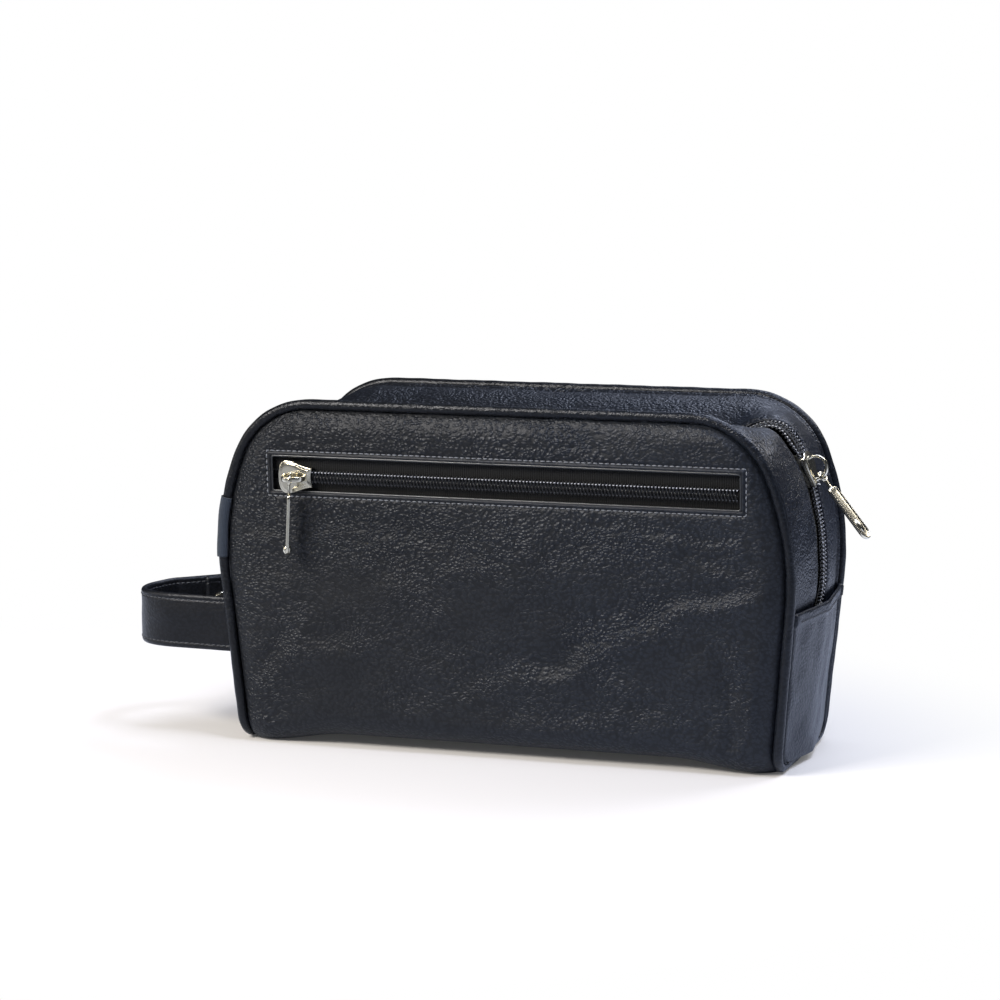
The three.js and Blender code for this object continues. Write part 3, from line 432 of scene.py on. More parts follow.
def pebble_grain(x, z):
    """How far the pebbles stand up: most above the middle and along the left seam, and beside folds."""
    grain = 0.34 + 0.55 * (1 - smooth(x, -118, -70)) + 0.8 * smooth(z, 72, 100) * (
        1 - 0.3 * smooth(z, 138, 148)) * (1 - 0.62 * smooth(x, 10, 90))
    for _, _, depth, width, length, run, off in fold_places(x, z):
        fade = smooth(run, -10, 6) * (1 - smooth(run, length - 6, length + 10))
        grain = grain + 0.28 * depth * np.exp(-(off / (1.6 * width)) ** 2) * fade
    return np.clip(grain + 0.12 * ripple(x, z, 71, 40), 0.15, 1.15) * (1 - 0.45 * smooth(x, 50, 115))


def bowed(points):
    """The bag stands on the two ends of its underside, which is bowed up between them. The bow dies
    out by 45 mm up."""
    x, z = points[..., 0], points[..., 2]
    lifted = BOW * smooth(115 - abs(x), 0, 40) * (1 - smooth(z, 0, 45))
    return points + np.stack([0 * x, 0 * x, lifted], -1)


def crown_ramp(distance):
    """The rise of a panel's crown at a distance from a seam: a quarter of a sine wave."""
    return np.sin(math.pi / 2 * np.clip(distance / CROWN_REACH, 0, 1))


def panel_rows(near_window):
    """Kinds and heights of a panel's rows, and their angles round the roll or shares of the lap."""
    top = steps(window_high, face_top, 1.25, near_window, NEAR_SEAM)
    up = steps(ROLL_RADIUS, window_low, 1.35, (), near_window)
    inner = steps(window_low, window_high, 1.0, NEAR_CORNER, NEAR_CORNER)
    turns = [-math.pi / 2 * (1 + t) for t in np.linspace(0, 1, 15)[:-1]]
    rows = [("lap", t, 0.0) for t in (0.0, 0.5)]
    rows += [("roll", t, ROLL_RADIUS * (1 + math.sin(t))) for t in turns]
    return rows + [("face", z, z) for z in np.concatenate([up, inner[1:-1], top])]


def panel_columns(z):
    """The places across a panel at a height, with close ones by the seams and the window's sides."""
    left = steps(0, 1, 0.062, [d / 16 for d in NEAR_SEAM], [d / 16 for d in NEAR_WINDOW])
    middle = steps(0, 1, 1.4 / 214, [d / 214 for d in NEAR_CORNER], [d / 214 for d in NEAR_CORNER])
    right = steps(0, 1, 0.068, [d / 14 for d in NEAR_WINDOW], [d / 14 for d in NEAR_SEAM])
    half = float(edge(z, PANEL_INSET))
    squeeze = half / float(edge(window_high, PANEL_INSET)) if z > window_high else 1.0
    a, b = window_left * squeeze, window_right * squeeze
    return np.concatenate([-half + left * (a + half), a + middle[1:-1] * (b - a), b + right * (half - b)])


def panel(name, face, with_window):
    """A panel as rows from its lap under the bag, round the roll at the bottom and up to the top
    seam, and columns across. Depth is half the bag's depth plus a crown that falls as a sine to the
    seams, dives under the piping at the very edge, and carries the creases."""
    rows = panel_rows(NEAR_WINDOW if with_window else ())
    x = np.array([panel_columns(z) for _, _, z in rows])
    z = np.array([z for _, _, z in rows])[:, None] * np.ones_like(x)
    shape_z = np.maximum(z, ROLL_RADIUS)
    from_side, from_top = edge(z, PANEL_INSET) - abs(x), face_top - shape_z
    nearest = np.minimum(from_side, from_top)
    dive = 2.1 * np.clip(1 - nearest / 3.3, 0, 1) ** 2
    swell = CROWN * crown_ramp(from_side) * crown_ramp(from_top) - dive
    wild = face_creases(x, z) if face < 0 else face_creases(-x * 0.9 + 7, z * 0.93 + 5)
    calm = smooth(nearest, 1, 12) * smooth(z, -2, 16)
    grain = pebble_grain(x, z) * smooth(nearest, 0, 4)
    hole = None
    if with_window:
        outside = np.max([window_left - x, x - window_right, window_low - z, z - window_high], 0)
        calm = calm * (0.22 + 0.78 * smooth(outside, 3, 16))
        turn = np.clip(1 - outside / (2 * TURNED_EDGE), 0, 1)
        swell = swell - TURNED_EDGE * (1 - np.sqrt(1 - turn ** 2))
        swell = swell + 0.6 * np.exp(-((outside - 1.3) / 0.6) ** 2)
        swell = swell - 0.45 * np.exp(-((outside - STITCH_OUT) / 0.5) ** 2)
        grain = grain * (0.15 + 0.85 * smooth(outside, 1.6, 3.4))
        mid_x, mid_z = (x[:-1, :-1] + x[:-1, 1:]) / 2, (z[:-1, :-1] + z[1:, :-1]) / 2
        hole = (mid_z > window_low) & (mid_z < window_high) & (mid_x > window_left) & (mid_x < window_right)
    swell = swell + wild * calm
    y = face * (half_depth(shape_z) + swell)
    for i, (kind, value, _) in enumerate(rows):
        centre = roll_depth + swell[i] - ROLL_RADIUS
        if kind == "roll":
            y[i] = face * (centre - ROLL_RADIUS * math.cos(value))
        if kind == "lap":
            y[i] = face * (lap_end + value * (centre - lap_end))
    points = bowed(np.stack([x, y, z], -1))
    sheet(f"{name}_leather", points, panel_leather, [name], LEATHER, face < 0, None, hole, grain)


panel("front_panel", -1, True)
panel("back_panel", 1, False)

# Bottom panel
# The strip of the same hide between the two laps, which the bag stands on.
BOTTOM_GAP = 0.3


def floor_points(half_width, half_across, counts, level):
    """A flat grid of the bag's floor, bowed with it: x, y and the points at level(x, y)."""
    u, v = np.meshgrid(*(np.linspace(-1, 1, count) for count in counts), indexing="ij")
    x, y = u * half_width, v * half_across
    return x, y, bowed(np.stack([x, y, level(x, y) + 0 * x], -1))


_, _, points = floor_points(float(edge(0, SEAM_INSET)), lap_end - BOTTOM_GAP, (90, 14), lambda x, y: 0.02)
sheet("bottom_panel_leather", points, panel_leather, ["bottom_panel"], LEATHER, flip=True,
      grain=0.5)

# Edge piping
# A cord wrapped in thin skived hide and sewn into the seam between each panel and the gussets: one
# closed loop over both faces, drawn in under the bag at the bottom of each side.
tuck_height = ROLL_RADIUS - SEAM_INSET


def tuck_point(face, angle, inset):
    """A point of the quarter ellipse that the seam follows under a bottom corner, and its way out,
    by its angle from the face to the underside."""
    out = unit(np.stack([0 * angle, face * np.cos(angle) / ROLL_RADIUS, -np.sin(angle) / tuck_height], -1))
    y = face * (roll_depth - ROLL_RADIUS + ROLL_RADIUS * np.cos(angle))
    z = ROLL_RADIUS - tuck_height * np.sin(angle)
    return np.stack([0 * angle, y, z], -1) - inset * out, out


def piping_path():
    """The loop as points and ways out: up, over and down the front, tucked under the left side, back
    over the rear, and tucked under the right side."""
    first = float(along_at(ROLL_RADIUS))
    x, z, _, _ = seam(np.linspace(first, seam_length - first, 300))
    angle = np.linspace(0, math.pi / 2, 9)[1:]
    places, outs = [], []
    for face in (-1, 1):
        over = np.stack([x, face * half_depth(z), z], -1)[::-face]
        here, here_out = tuck_point(face, angle, 0)
        there, there_out = tuck_point(-face, angle, 0)
        between = np.linspace(here[-1], there[-1], 16)[1:-1]
        under = np.concatenate([here, between, there[::-1]])
        under[:, 0] = face * edge(under[:, 2], 0)
        places += [over, under]
        outs += [np.tile([0.0, face, 0.0], (len(over), 1)), here_out,
                 np.tile([0.0, 0.0, -1.0], (len(between), 1)), there_out[::-1]]
    return np.concatenate(places), np.concatenate(outs)


def lengths_along(line):
    """How far each point of a line is from its start, along it."""
    return np.concatenate([[0], np.cumsum(np.linalg.norm(np.diff(line, axis=0), axis=1))])


def tube(path, out, radius, sides, closed_loop):
    """Rings of points round a path: each ring's plane holds the way out and the direction across."""
    tangent = np.roll(path, -1, 0) - np.roll(path, 1, 0) if closed_loop else np.gradient(path, axis=0)
    across = unit(np.cross(tangent, out))
    upright = unit(np.cross(across, tangent))
    turn = np.linspace(0, 2 * math.pi, sides, endpoint=False)[None, :, None]
    radius = np.broadcast_to(radius, (len(path),))[:, None, None]
    return path[:, None] + radius * (np.cos(turn) * upright[:, None] + np.sin(turn) * across[:, None])


path, out = piping_path()
travel = lengths_along(path)
swollen = PIPING_RADIUS + 0.07 * np.sin(travel / 5.1) + 0.05 * np.sin(travel / 1.9 + 1)
piping_leather = leather_material("skived_cowhide_black", "#0b0c0e", "#14161a", 1.0, 0.2, 0.28)
sheet("edge_piping_leather", tube(path, out, swollen, 16, True), piping_leather,
      ["edge_piping"], flip=True, grain=0.5, joins=(True, True))

# Side gussets
# The lower part of each side, one cut of hide with a crease pressed down its middle, so that the bag
# folds flat. Its top is turned over as a hem, and the zip gusset is sewn in under the hem.
HEM_HEIGHT, HEM_FOLD, HEM_THICKNESS, TUCK = 71.5, 6.0, 1.1, 6.0
GUSSET_STAND, CREASE_SHAPE, CREASE_ROUND = 1.0, 1.1, 0.04
CREASE = {1: 5.0, -1: 3.0}
GUSSET_DEPTH = 44
SIDES = (("right", 1), ("left", -1))
NEAR_SIDE_SEAM = np.array([0, 0.3, 0.7, 1.1, 1.5, 1.9, 2.3, 2.7, 3.2, 3.8, 4.4, 5.0, 5.8])
gusset_leather = leather_material("gusset_cowhide_black", "#0b0c0f", "#15181e", 1.3, 0.34, 0.32)


def hump(distance, at, width):
    """A smooth hump of height one at a distance."""
    return np.exp(-((distance - at) / width) ** 2)


def side_wave(side, y, z):
    """The unevenness of a side gusset."""
    return 0.5 * ripple(y * 1.2, z, 31 + side, 34) + 0.16 * ripple(y, z, 33 + side, 12)


def side_crease(side, share):
    """How far a side's crease stands out at a share of the depth: a ridge with a slightly round top."""
    return CREASE[side] * (1 - np.hypot(np.abs(share) ** CREASE_SHAPE, CREASE_ROUND))


def side_points(side, top, inset, level, outer=True):
    """A side gusset by height and share of the depth: the outline pushed out by a ridge along the
    middle, with a step at the hem and an edge that dives in under the piping. Its lining has none of
    these."""
    low, _ = tuck_point(1, np.linspace(math.pi / 2, 0, 8), inset)
    rows_z = np.concatenate([low[:, 2], steps(ROLL_RADIUS, top, 1.5, (), (0.0, 0.25, 0.6, 1.1, 1.8))[1:]])
    half = np.concatenate([low[:, 1], half_depth(rows_z[8:]) - inset])[:, None]
    near = 1 - NEAR_SIDE_SEAM / GUSSET_DEPTH
    flank, middle = np.linspace(0.06, 0.85, 22), [-0.035, -0.015, 0, 0.015, 0.035]
    share = np.concatenate([-near, -flank[::-1], middle, flank, near[::-1]])[None]
    z = rows_z[:, None] + 0 * share
    y = half * share
    out = GUSSET_STAND - level
    if outer:
        fold = HEM_THICKNESS * smooth(z, top - HEM_FOLD - 0.5, top - HEM_FOLD + 0.4)
        from_edge = half - np.abs(y)
        dive = 2.4 * np.clip(1 - from_edge / 2.2, 0, 1) ** 2
        pressed = 0.45 * hump(from_edge, 4.3, 0.9) - 0.9 * hump(from_edge, 2.3, 0.8)
        calm = smooth(from_edge, 2, 9) * smooth(z, 4, 16) * (1 - 0.6 * smooth(z, top - 9, top - 5))
        out = out + side_crease(side, share) + fold - 0.9 * np.clip(1 - (top - z) / 1.1, 0, 1) ** 2
        out = out - dive - pressed + side_wave(side, y, z) * calm
    along = along_at(z)
    x, height, out_x, out_z = seam(along if side > 0 else seam_length - along)
    return np.stack([x + out * out_x, y, height + out * out_z], -1)


for name, side in SIDES:
    points = side_points(side, HEM_HEIGHT, SEAM_INSET - 1.2, 0)
    sheet(f"side_gusset_{name}_leather", points, gusset_leather, ["side_gusset_" + name],
          LEATHER, flip=side > 0, grain=0.5)

# Zip gusset
# Two long strips of the same hide up the right side, over the top and down the left, each turned in
# at the zip and stitched to its tape. They stand shut below the slider and droop where it is open.
LEATHER_FROM_CHAIN = 9.0
HALVES = (("front", True), ("rear", False))
GUSSET_SINK, EDGE_OVER = 0.3, 1.0
zip_start = float(along_at(HEM_HEIGHT - TUCK))
zip_end = seam_length - zip_start
corner_along = taper_length + side_length
top_along = corner_along + corner_length
slider_along = taper_length + SIDE_RADIUS * (math.radians(20.5) + SIDE_LEAN)
flare_along = seam_length - float(along_at(side_z + SIDE_RADIUS * math.sin(math.radians(7))))
hem_along = float(along_at(HEM_HEIGHT))
droop_start = corner_along + 0.3 * (top_along - corner_along)
gusset_level = GUSSET_STAND - LEATHER - GUSSET_SINK
# Along the zip: the angles in degrees at which a half leaves the piping and arrives at the zip, and
# half the gap between the halves
KEYS_AT = [zip_start, hem_along + HEM_FOLD, droop_start, top_along + 5, seam_length - top_along - 5,
           flare_along, zip_end - 2 * TUCK, zip_end]
LEAVE = {"front": [7, 9.5, 9.5, -10, -10, 32, 5, 5], "rear": [7, 9.5, 9.5, 5, 5, 26, 5, 5]}
ARRIVE = {"front": [0, 0, 0, -85, -85, 6, 0, 0], "rear": [0, 0, 0, -70, -70, 0, 0, 0]}
GAPS_AT = [zip_start, slider_along, slider_along + 12.5, top_along + 5, seam_length - top_along,
           flare_along, zip_end - 2 * TUCK, zip_end]
GAPS = [0, 0, 5, 0, 0, 8, 0, 0]
closed_chord = math.sin(math.radians(9.5)) / math.radians(9.5)
NEAR_PIPING = np.array([0, 0.4, 0.8, 1.2, 1.6, 2.0, 2.4, 2.8, 3.2, 3.7, 4.3, 4.9, 5.5, 6.2]) / 40
NEAR_ZIP = [0.84, 0.875, 0.9, 0.915, 0.93, 0.945, 0.965, 0.98, 0.99, 1]
along_zip = np.linspace(zip_start, zip_end, 300)[:, None]


def eased(value, knots, heights):
    """Heights at knots, joined by an even ease between each two."""
    knots, heights = np.asarray(knots, float), np.asarray(heights, float)
    spot = np.clip(np.searchsorted(knots, value, side="right"), 1, len(knots) - 1)
    share = smooth(value, knots[spot - 1], knots[spot])
    return heights[spot - 1] + (heights[spot] - heights[spot - 1]) * share


def strip_width(along):
    """The width of a half from the piping to the middle of the zip."""
    _, z, _, _ = seam(along)
    return (half_depth(z) - SEAM_INSET - np.interp(along, GAPS_AT, GAPS)) / closed_chord


def on_strip(half, along, from_chain, level):
    """A point of a half: it leaves the piping at one angle and turns evenly to another at the zip, so
    its section is an arc. Places count from the chain, and levels from the outer side of the hide."""
    places = (np.asarray(part, float) for part in (along, from_chain, level))
    along, from_chain, level = np.broadcast_arrays(*places)
    x, z, out_x, out_z = seam(along)
    face = -1 if half == "front" else 1
    width = strip_width(along)
    leave = np.radians(eased(along, KEYS_AT, LEAVE[half]))
    arrive = np.radians(eased(along, KEYS_AT, ARRIVE[half])) + 0.0001
    turned = leave + (arrive - leave) * np.minimum(1, (width + from_chain) / width)
    bend = (arrive - leave) / width
    past = np.maximum(0, from_chain)
    inward = (np.sin(turned) - np.sin(leave)) / bend + past * np.cos(turned) - level * np.sin(turned)
    rise = (np.cos(leave) - np.cos(turned)) / bend + past * np.sin(turned) + level * np.cos(turned)
    out = gusset_level + rise
    return np.stack([x + out * out_x, face * (half_depth(z) - SEAM_INSET - inward), z + out * out_z], -1)


def gusset_points(half):
    """A half's outer side: its arc, with the edge turned in at the zip, a groove under its stitches,
    wrinkles across the tight corners, and a roll where it comes out from under the piping."""
    share = np.concatenate([NEAR_PIPING, np.linspace(0.19, 0.8, 15), NEAR_ZIP])[None]
    start = -strip_width(along_zip) - EDGE_OVER
    from_chain = start + share * (-LEATHER_FROM_CHAIN - start)
    from_edge, from_seam = -LEATHER_FROM_CHAIN - from_chain, from_chain - start
    level = -1.1 * np.clip(1 - from_edge / 1.1, 0, 1) ** 2 - 0.35 * hump(from_edge, 2.2, 0.45)
    level = level - 2.2 * np.clip(1 - from_seam / 2.4, 0, 1) ** 2
    level = level + 1.0 * hump(from_seam, 2.7, 0.9) - 0.5 * hump(from_seam, 4.9, 1.0)
    tight = corner_along + 20
    bent = hump(along_zip, tight, 26) + hump(seam_length - along_zip, tight, 26)
    wild = (0.35 + 0.25 * bent) * ripple(along_zip, from_chain * 0.8, 41 + len(half), 26)
    wild = wild + 0.22 * bent * ripple(along_zip, from_chain * 0.25, 43 + len(half), 7)
    ends = smooth(along_zip, zip_start, zip_start + 14) * (1 - smooth(along_zip, zip_end - 14, zip_end))
    calm = smooth(from_edge, 1, 5) * smooth(from_seam, 1.5, 6) * ends
    return on_strip(half, along_zip + 0 * share, from_chain, level + wild * calm)


for half, flip in HALVES:
    sheet(f"zip_gusset_{half}_leather", gusset_points(half), gusset_leather,
          ["zip_gusset_" + half], LEATHER, flip=flip, grain=0.65)

# Zip tapes
# Woven polyester tape, 0.6 mm thick with a fine cross rib, on which the coil is sewn. Each half is
# sewn under the turned edge of its hide.
TAPE, TAPE_GAP, GAP = 0.6, 0.4, 0.3
TAPE_REACH, TAPE_TUCK = 2.0, 8.0
tape_top = -LEATHER - TAPE_GAP


def woven_material(name, base, light, rib, strength, roughness):
    """Polyester weave: threads of a width in millimetres both ways, one raised more than the other as
    a rib, drawn along the piece's own UV map, with a soft fibre sheen."""
    material, tree, place = new_material(name, "UV")
    per_metre = 6.283 / (rib * MM)
    apart = node(tree, "SeparateXYZ", place).outputs
    turns = (node(tree, "Math", apart[axis], scale, operation="MULTIPLY")
             for axis, scale in (("X", per_metre), ("Y", per_metre * 0.8)))
    warp, weft = (node(tree, "Math", turn, operation="SINE") for turn in turns)
    over = node(tree, "Math", weft, 0.35, warp, operation="MULTIPLY_ADD")
    spots = node(tree, "TexCoord").outputs["Object"]
    fuzz = node(tree, "TexNoise", Vector=spots, Scale=1800.0, Detail=2.0)
    relief = node(tree, "Math", fuzz, over, operation="ADD")
    raised = node(tree, "MapRange", relief, -0.8, 1.8, 0.0, 1.0)
    dye = node(tree, "Mix", data_type="RGBA", Factor=raised, A=base, B=light)
    surface(tree, relief, strength, 0.00012, Base_Color=dye, Roughness=roughness, Specular_IOR_Level=0.25,
            Sheen_Weight=0.15, Sheen_Roughness=0.5)
    return material


def grid_uv(along, across):
    """A UV map in metres from lengths along and across in millimetres."""
    return np.stack(np.broadcast_arrays(along, across), -1) * MM


zip_tape = woven_material("polyester_zip_tape_black", "#040405", "#0d0e10", 1.0, 0.6, 0.8)
across = np.array([-LEATHER_FROM_CHAIN - TAPE_TUCK, *np.linspace(-LEATHER_FROM_CHAIN, -TAPE_REACH, 9)])[None]
for half, flip in HALVES:
    edge_bend = 0.12 * np.sin(along_zip / 3.1) * smooth(across, -6, -2)
    points = on_strip(half, along_zip, across, tape_top + edge_bend)
    sheet(f"main_tape_{half}_cloth", points, zip_tape, ["main_tape_" + half], TAPE,
          flip, grid_uv(along_zip, across))

# Zip coils
# One nylon monofilament for each half, wound as a flattened coil and sewn down along its tape's edge.
# The two halves' turns lie half a pitch apart, so that they mesh where the zip is closed.
COIL_PITCH, POCKET_PITCH, WIRE = 1.72, 1.55, 0.36
COIL_LIFT, COIL_THICKNESS, STOP = 0.4, 1.9, 2.5
COIL_LEAN, COIL_HALF, COIL_RISE = -1.12, 1.5, 0.56
coil_middle = COIL_LIFT - LEATHER + COIL_THICKNESS / 2


def coil_material():
    """Moulded black nylon: a smooth, slightly waxy plastic with faint drawing marks."""
    material, tree, place = new_material("nylon_monofilament_black")
    haze = node(tree, "TexNoise", Vector=place, Scale=900.0, Detail=2.0)
    tone = node(tree, "Mix", data_type="RGBA", Factor=haze, A="#0c0c0e", B="#1f2023")
    surface(tree, haze, 0.15, 0.00005, Base_Color=tone,
            Roughness=node(tree, "MapRange", haze, 0.0, 1.0, 0.22, 0.4), IOR=1.53)
    return material


def coil(name, start, end, phase, pitch, place):
    """A flattened coil as a tube: the wire's centre goes round an oval, 3.5 mm across and 1.2 mm
    high, once each pitch, with blunt heads at the middle of the zip, which place(along, from chain,
    level) puts on the bag."""
    turns = int((end - start) / pitch)
    t = np.linspace(0, turns, turns * 10 + 1)
    angle = 2 * math.pi * (t + phase)
    blunt = np.cos(angle) + 0.12 * np.cos(3 * angle)
    oval = lambda half, rise: place(start + t * pitch, COIL_LEAN + half * blunt,
                                    coil_middle + rise * np.sin(angle))
    centre = oval(COIL_HALF, COIL_RISE)
    out = unit(oval(1.9, 1.3) - centre)
    sheet(f"{name}_nylon", tube(centre, out, WIRE, 5, False), nylon, [name], flip=True,
          joins=(False, True))


nylon = coil_material()
for half, phase in (("front", 0.0), ("rear", 0.5)):
    coil("main_coil_" + half, zip_start + STOP + 0.5, zip_end - STOP - 0.5, phase, COIL_PITCH,
         lambda *spot: on_strip(half, *spot))

# Lining
# Black polyester taffeta, cut as the outside is and sewn in behind it.
LINING, BOARD_MARGIN, BOARD = 0.6, 14.0, 1.8
lining_cloth = woven_material("polyester_taffeta_black", "#0d0e10", "#1d1e22", 0.9, 0.5, 0.6)
lining_level = LEATHER + LINING
lining_inset = SEAM_INSET + LEATHER
board_top = LEATHER + GAP + BOARD
floor_top = board_top + GAP + LINING


def lining_leaf(name, points, flip, uv):
    """One cut of the lining, to the inside of its points."""
    sheet(f"{name}_cloth", points, lining_cloth, [name], LINING, flip, uv)


def lining_face(face):
    """The lining of a panel: the panel's own surface without its crown, one gap further in."""
    angle = np.linspace(-math.pi / 2, -math.pi / 2 - math.pi / 2 * 0.98, 8)[::-1]
    flat = np.linspace(ROLL_RADIUS, HEIGHT - SEAM_INSET - 6.5, 70)[1:]
    z = np.concatenate([ROLL_RADIUS * (1 + np.sin(angle)), flat])[:, None]
    half = edge(z, lining_inset)
    x = np.linspace(-1, 1, 91)[None] * half
    y = half_depth(np.maximum(z, ROLL_RADIUS)) - lining_level + 0 * x
    wild = 0.5 * ripple(x, z, 51 + face, 48) * smooth(z, 14, 30) * smooth(half - abs(x), 1, 10)
    y = y - np.abs(wild) * 0.8
    height = z + 0 * x
    radius = ROLL_RADIUS - lining_level
    y[:8] = (roll_depth - ROLL_RADIUS - radius * np.cos(angle))[:, None]
    height[:8] = (ROLL_RADIUS + radius * np.sin(angle))[:, None]
    return bowed(np.stack([x, face * y, height], -1)), grid_uv(x, height)


for name, face in (("front", -1), ("back", 1)):
    points, uv = lining_face(face)
    lining_leaf("lining_" + name, points, face < 0, uv)
for name, side in SIDES:
    points = side_points(side, HEM_HEIGHT - TUCK - LEATHER, lining_inset, LEATHER + GAP, outer=False)
    lining_leaf("lining_side_" + name, points, side > 0, grid_uv(points[..., 1], points[..., 2]))
for half, flip in HALVES:
    first = LEATHER - strip_width(along_zip)
    across = first + np.linspace(0, 1, 9)[None] * (-LEATHER_FROM_CHAIN - TAPE_TUCK - first)
    across = np.concatenate([across, 0 * along_zip - LEATHER_FROM_CHAIN], 1)
    points = on_strip(half, along_zip, across - np.append(np.zeros(9), GAP), tape_top - TAPE - GAP)
    lining_leaf("lining_zip_gusset_" + half, points, flip, grid_uv(along_zip, across))
x, y, points = floor_points(float(edge(0, BOARD_MARGIN)), roll_depth - ROLL_RADIUS - GAP, (60, 24),
                            lambda x, y: floor_top + 0.12 * (1 + ripple(x, y, 55, 40)))
lining_leaf("lining_bottom", points, False, grid_uv(x, y))

# Front pocket: zip and bag
# A slide zip behind the window's turned edges, with more of the upper tape in view than of the
# lower one, and a taffeta pocket behind it.
POCKET_RISE, POCKET_SINK, UNDER_LEATHER = 1.2, 0.55, 3.0
POCKET_BAG, POCKET_UNDER = 62.0, -3.3
SLIDER_LENGTH, SLIDER_START = 16.0, 3.3
chain_height = window_z - POCKET_RISE
face_tilt = math.atan2((TOP_DEPTH - BOTTOM_DEPTH) / 2, HEIGHT)
pocket_origin = np.array([0.0, -(float(half_depth(chain_height)) + CROWN), chain_height])
pocket_x = np.array([1.0, 0.0, 0.0])
pocket_up = np.array([0.0, -math.sin(face_tilt), math.cos(face_tilt)])
pocket_out = np.array([0.0, -math.cos(face_tilt), -math.sin(face_tilt)])
pocket_tape_level = tape_top - GAP
to_top, to_bottom = window_high - chain_height, chain_height - window_low
leaf_top = pocket_tape_level - TAPE - GAP
leaf_back = POCKET_UNDER - 1.2 - GAP
pocket_slider_x = window_left + SLIDER_START + SLIDER_LENGTH / 2
run = np.linspace(window_left - UNDER_LEATHER, window_right + LEATHER, 170)[:, None]


def on_pocket(x, up, level):
    """A point in the pocket's own frame: x along the zip, up the face, and a level out of it."""
    x, up, level = (part[..., None] for part in np.broadcast_arrays(x, up, np.asarray(level, float)))
    return pocket_origin + x * pocket_x + up * pocket_up + (level - POCKET_SINK) * pocket_out


for name, side, reach in (("upper", 1, to_top), ("lower", -1, to_bottom)):
    up = side * np.linspace(TAPE_REACH, reach + UNDER_LEATHER, 10)[None]
    lie = pocket_tape_level + 0.1 * np.sin(run / 7 + side) + 0 * up
    sheet(f"pocket_tape_{name}_cloth", on_pocket(run, up, lie), zip_tape,
          ["pocket_tape_" + name], TAPE, side < 0, grid_uv(run, up))
for name, side, phase in (("upper", 1, 0.0), ("lower", -1, 0.5)):
    coil("pocket_coil_" + name, pocket_slider_x - 2, window_right - 0.4, phase, POCKET_PITCH,
         lambda x, from_chain, level: on_pocket(x, -side * from_chain, level))
for name, top, deep in (("front", -8.0, leaf_back + LINING + GAP),
                        ("back", to_top + UNDER_LEATHER, leaf_back)):
    up = np.linspace(top, -POCKET_BAG, 50)[None]
    level = np.maximum(deep, leaf_top + (deep - leaf_top) * np.clip((top - up) / 5, 0, 1))
    level = level + 0.05 * np.sin(run / 9) * np.clip((top - up) / 20, 0, 1)
    lining_leaf("pocket_lining_" + name, on_pocket(run, up, level), True, grid_uv(run, up))

# Stitching
# Lockstitch in bonded polyester thread: about 3 mm to a stitch round the pocket window, along both
# edges of the zip gusset, on the side hems and on the strap. Each stitch dips at its two needle holes.
THREAD, STITCH, STITCH_GAP, COIL_STITCH_GAP = 0.3, 2.6, 0.2, 0.5
STITCH_RISE, STITCH_SINK, STITCH_RINGS, STITCH_SIDES = 0.34, 0.22, 7, 6
COIL_SEAM = 2.15
COIL_SEAM_LEVEL = coil_middle + 0.8


def thread_material(name, dark, light):
    """Bonded polyester thread, slightly waxed, with the twist of its plies."""
    material, tree, place = new_material(name)
    ply = node(tree, "TexWave", Vector=place, Scale=900.0, Distortion=1.0).outputs["Fac"]
    dye = node(tree, "Mix", data_type="RGBA", Factor=ply, A=dark, B=light)
    surface(tree, ply, 0.5, 0.0001, Base_Color=dye, Roughness=0.5, Specular_IOR_Level=0.35)
    return material


thread = thread_material("bonded_polyester_thread_slate", "#222327", "#55575b")
window_thread = thread_material("bonded_polyester_thread_grey", "#4a4c51", "#8d8f94")
coil_thread = thread_material("spun_polyester_thread_white", "#86868c", "#dedee2")


def at_lengths(spots, lengths, values):
    """The rows of values, which belong to lengths, read off at other lengths."""
    return np.stack([np.interp(spots, lengths, values[:, k]) for k in range(values.shape[1])], -1)


def stitch_row(name, line, out, body="root", gap=STITCH_GAP, size=STITCH, yarn=thread):
    """A row of stitches along a line of points, with the way out at each: every stitch is a short
    bowed tube, thick in the middle and sunk at both ends."""
    lengths = lengths_along(line)
    count = max(1, int(round(lengths[-1] / size)))
    t = np.linspace(0, 1, STITCH_RINGS)
    spots = (np.arange(count)[:, None] + gap / 2 + t[None] * (1 - gap)) / count * lengths[-1]
    way = unit(at_lengths(spots, lengths, out))
    bow = np.sin(math.pi * t)
    centre = at_lengths(spots, lengths, line) + way * (bow[None, :, None] * STITCH_RISE - STITCH_SINK)
    across = np.cross(unit(np.gradient(centre, axis=1)), way)
    turn = np.linspace(0, 2 * math.pi, STITCH_SIDES, endpoint=False)[:, None]
    radius = (THREAD * (0.55 + 0.45 * bow))[None, :, None, None]
    ring = centre[:, :, None] + radius * (np.cos(turn) * way[:, :, None] + np.sin(turn) * across[:, :, None])
    number = np.arange(count * STITCH_RINGS * STITCH_SIDES).reshape(count, STITCH_RINGS, STITCH_SIDES)
    turned = np.roll(number, -1, 2)
    quads = np.stack([number[:, :-1], turned[:, :-1], turned[:, 1:], number[:, 1:]], -1).reshape(-1, 4)
    caps = number[:, 0, ::-1].tolist() + number[:, -1].tolist()
    return new_piece(name, ring, quads.tolist() + caps, yarn, body)


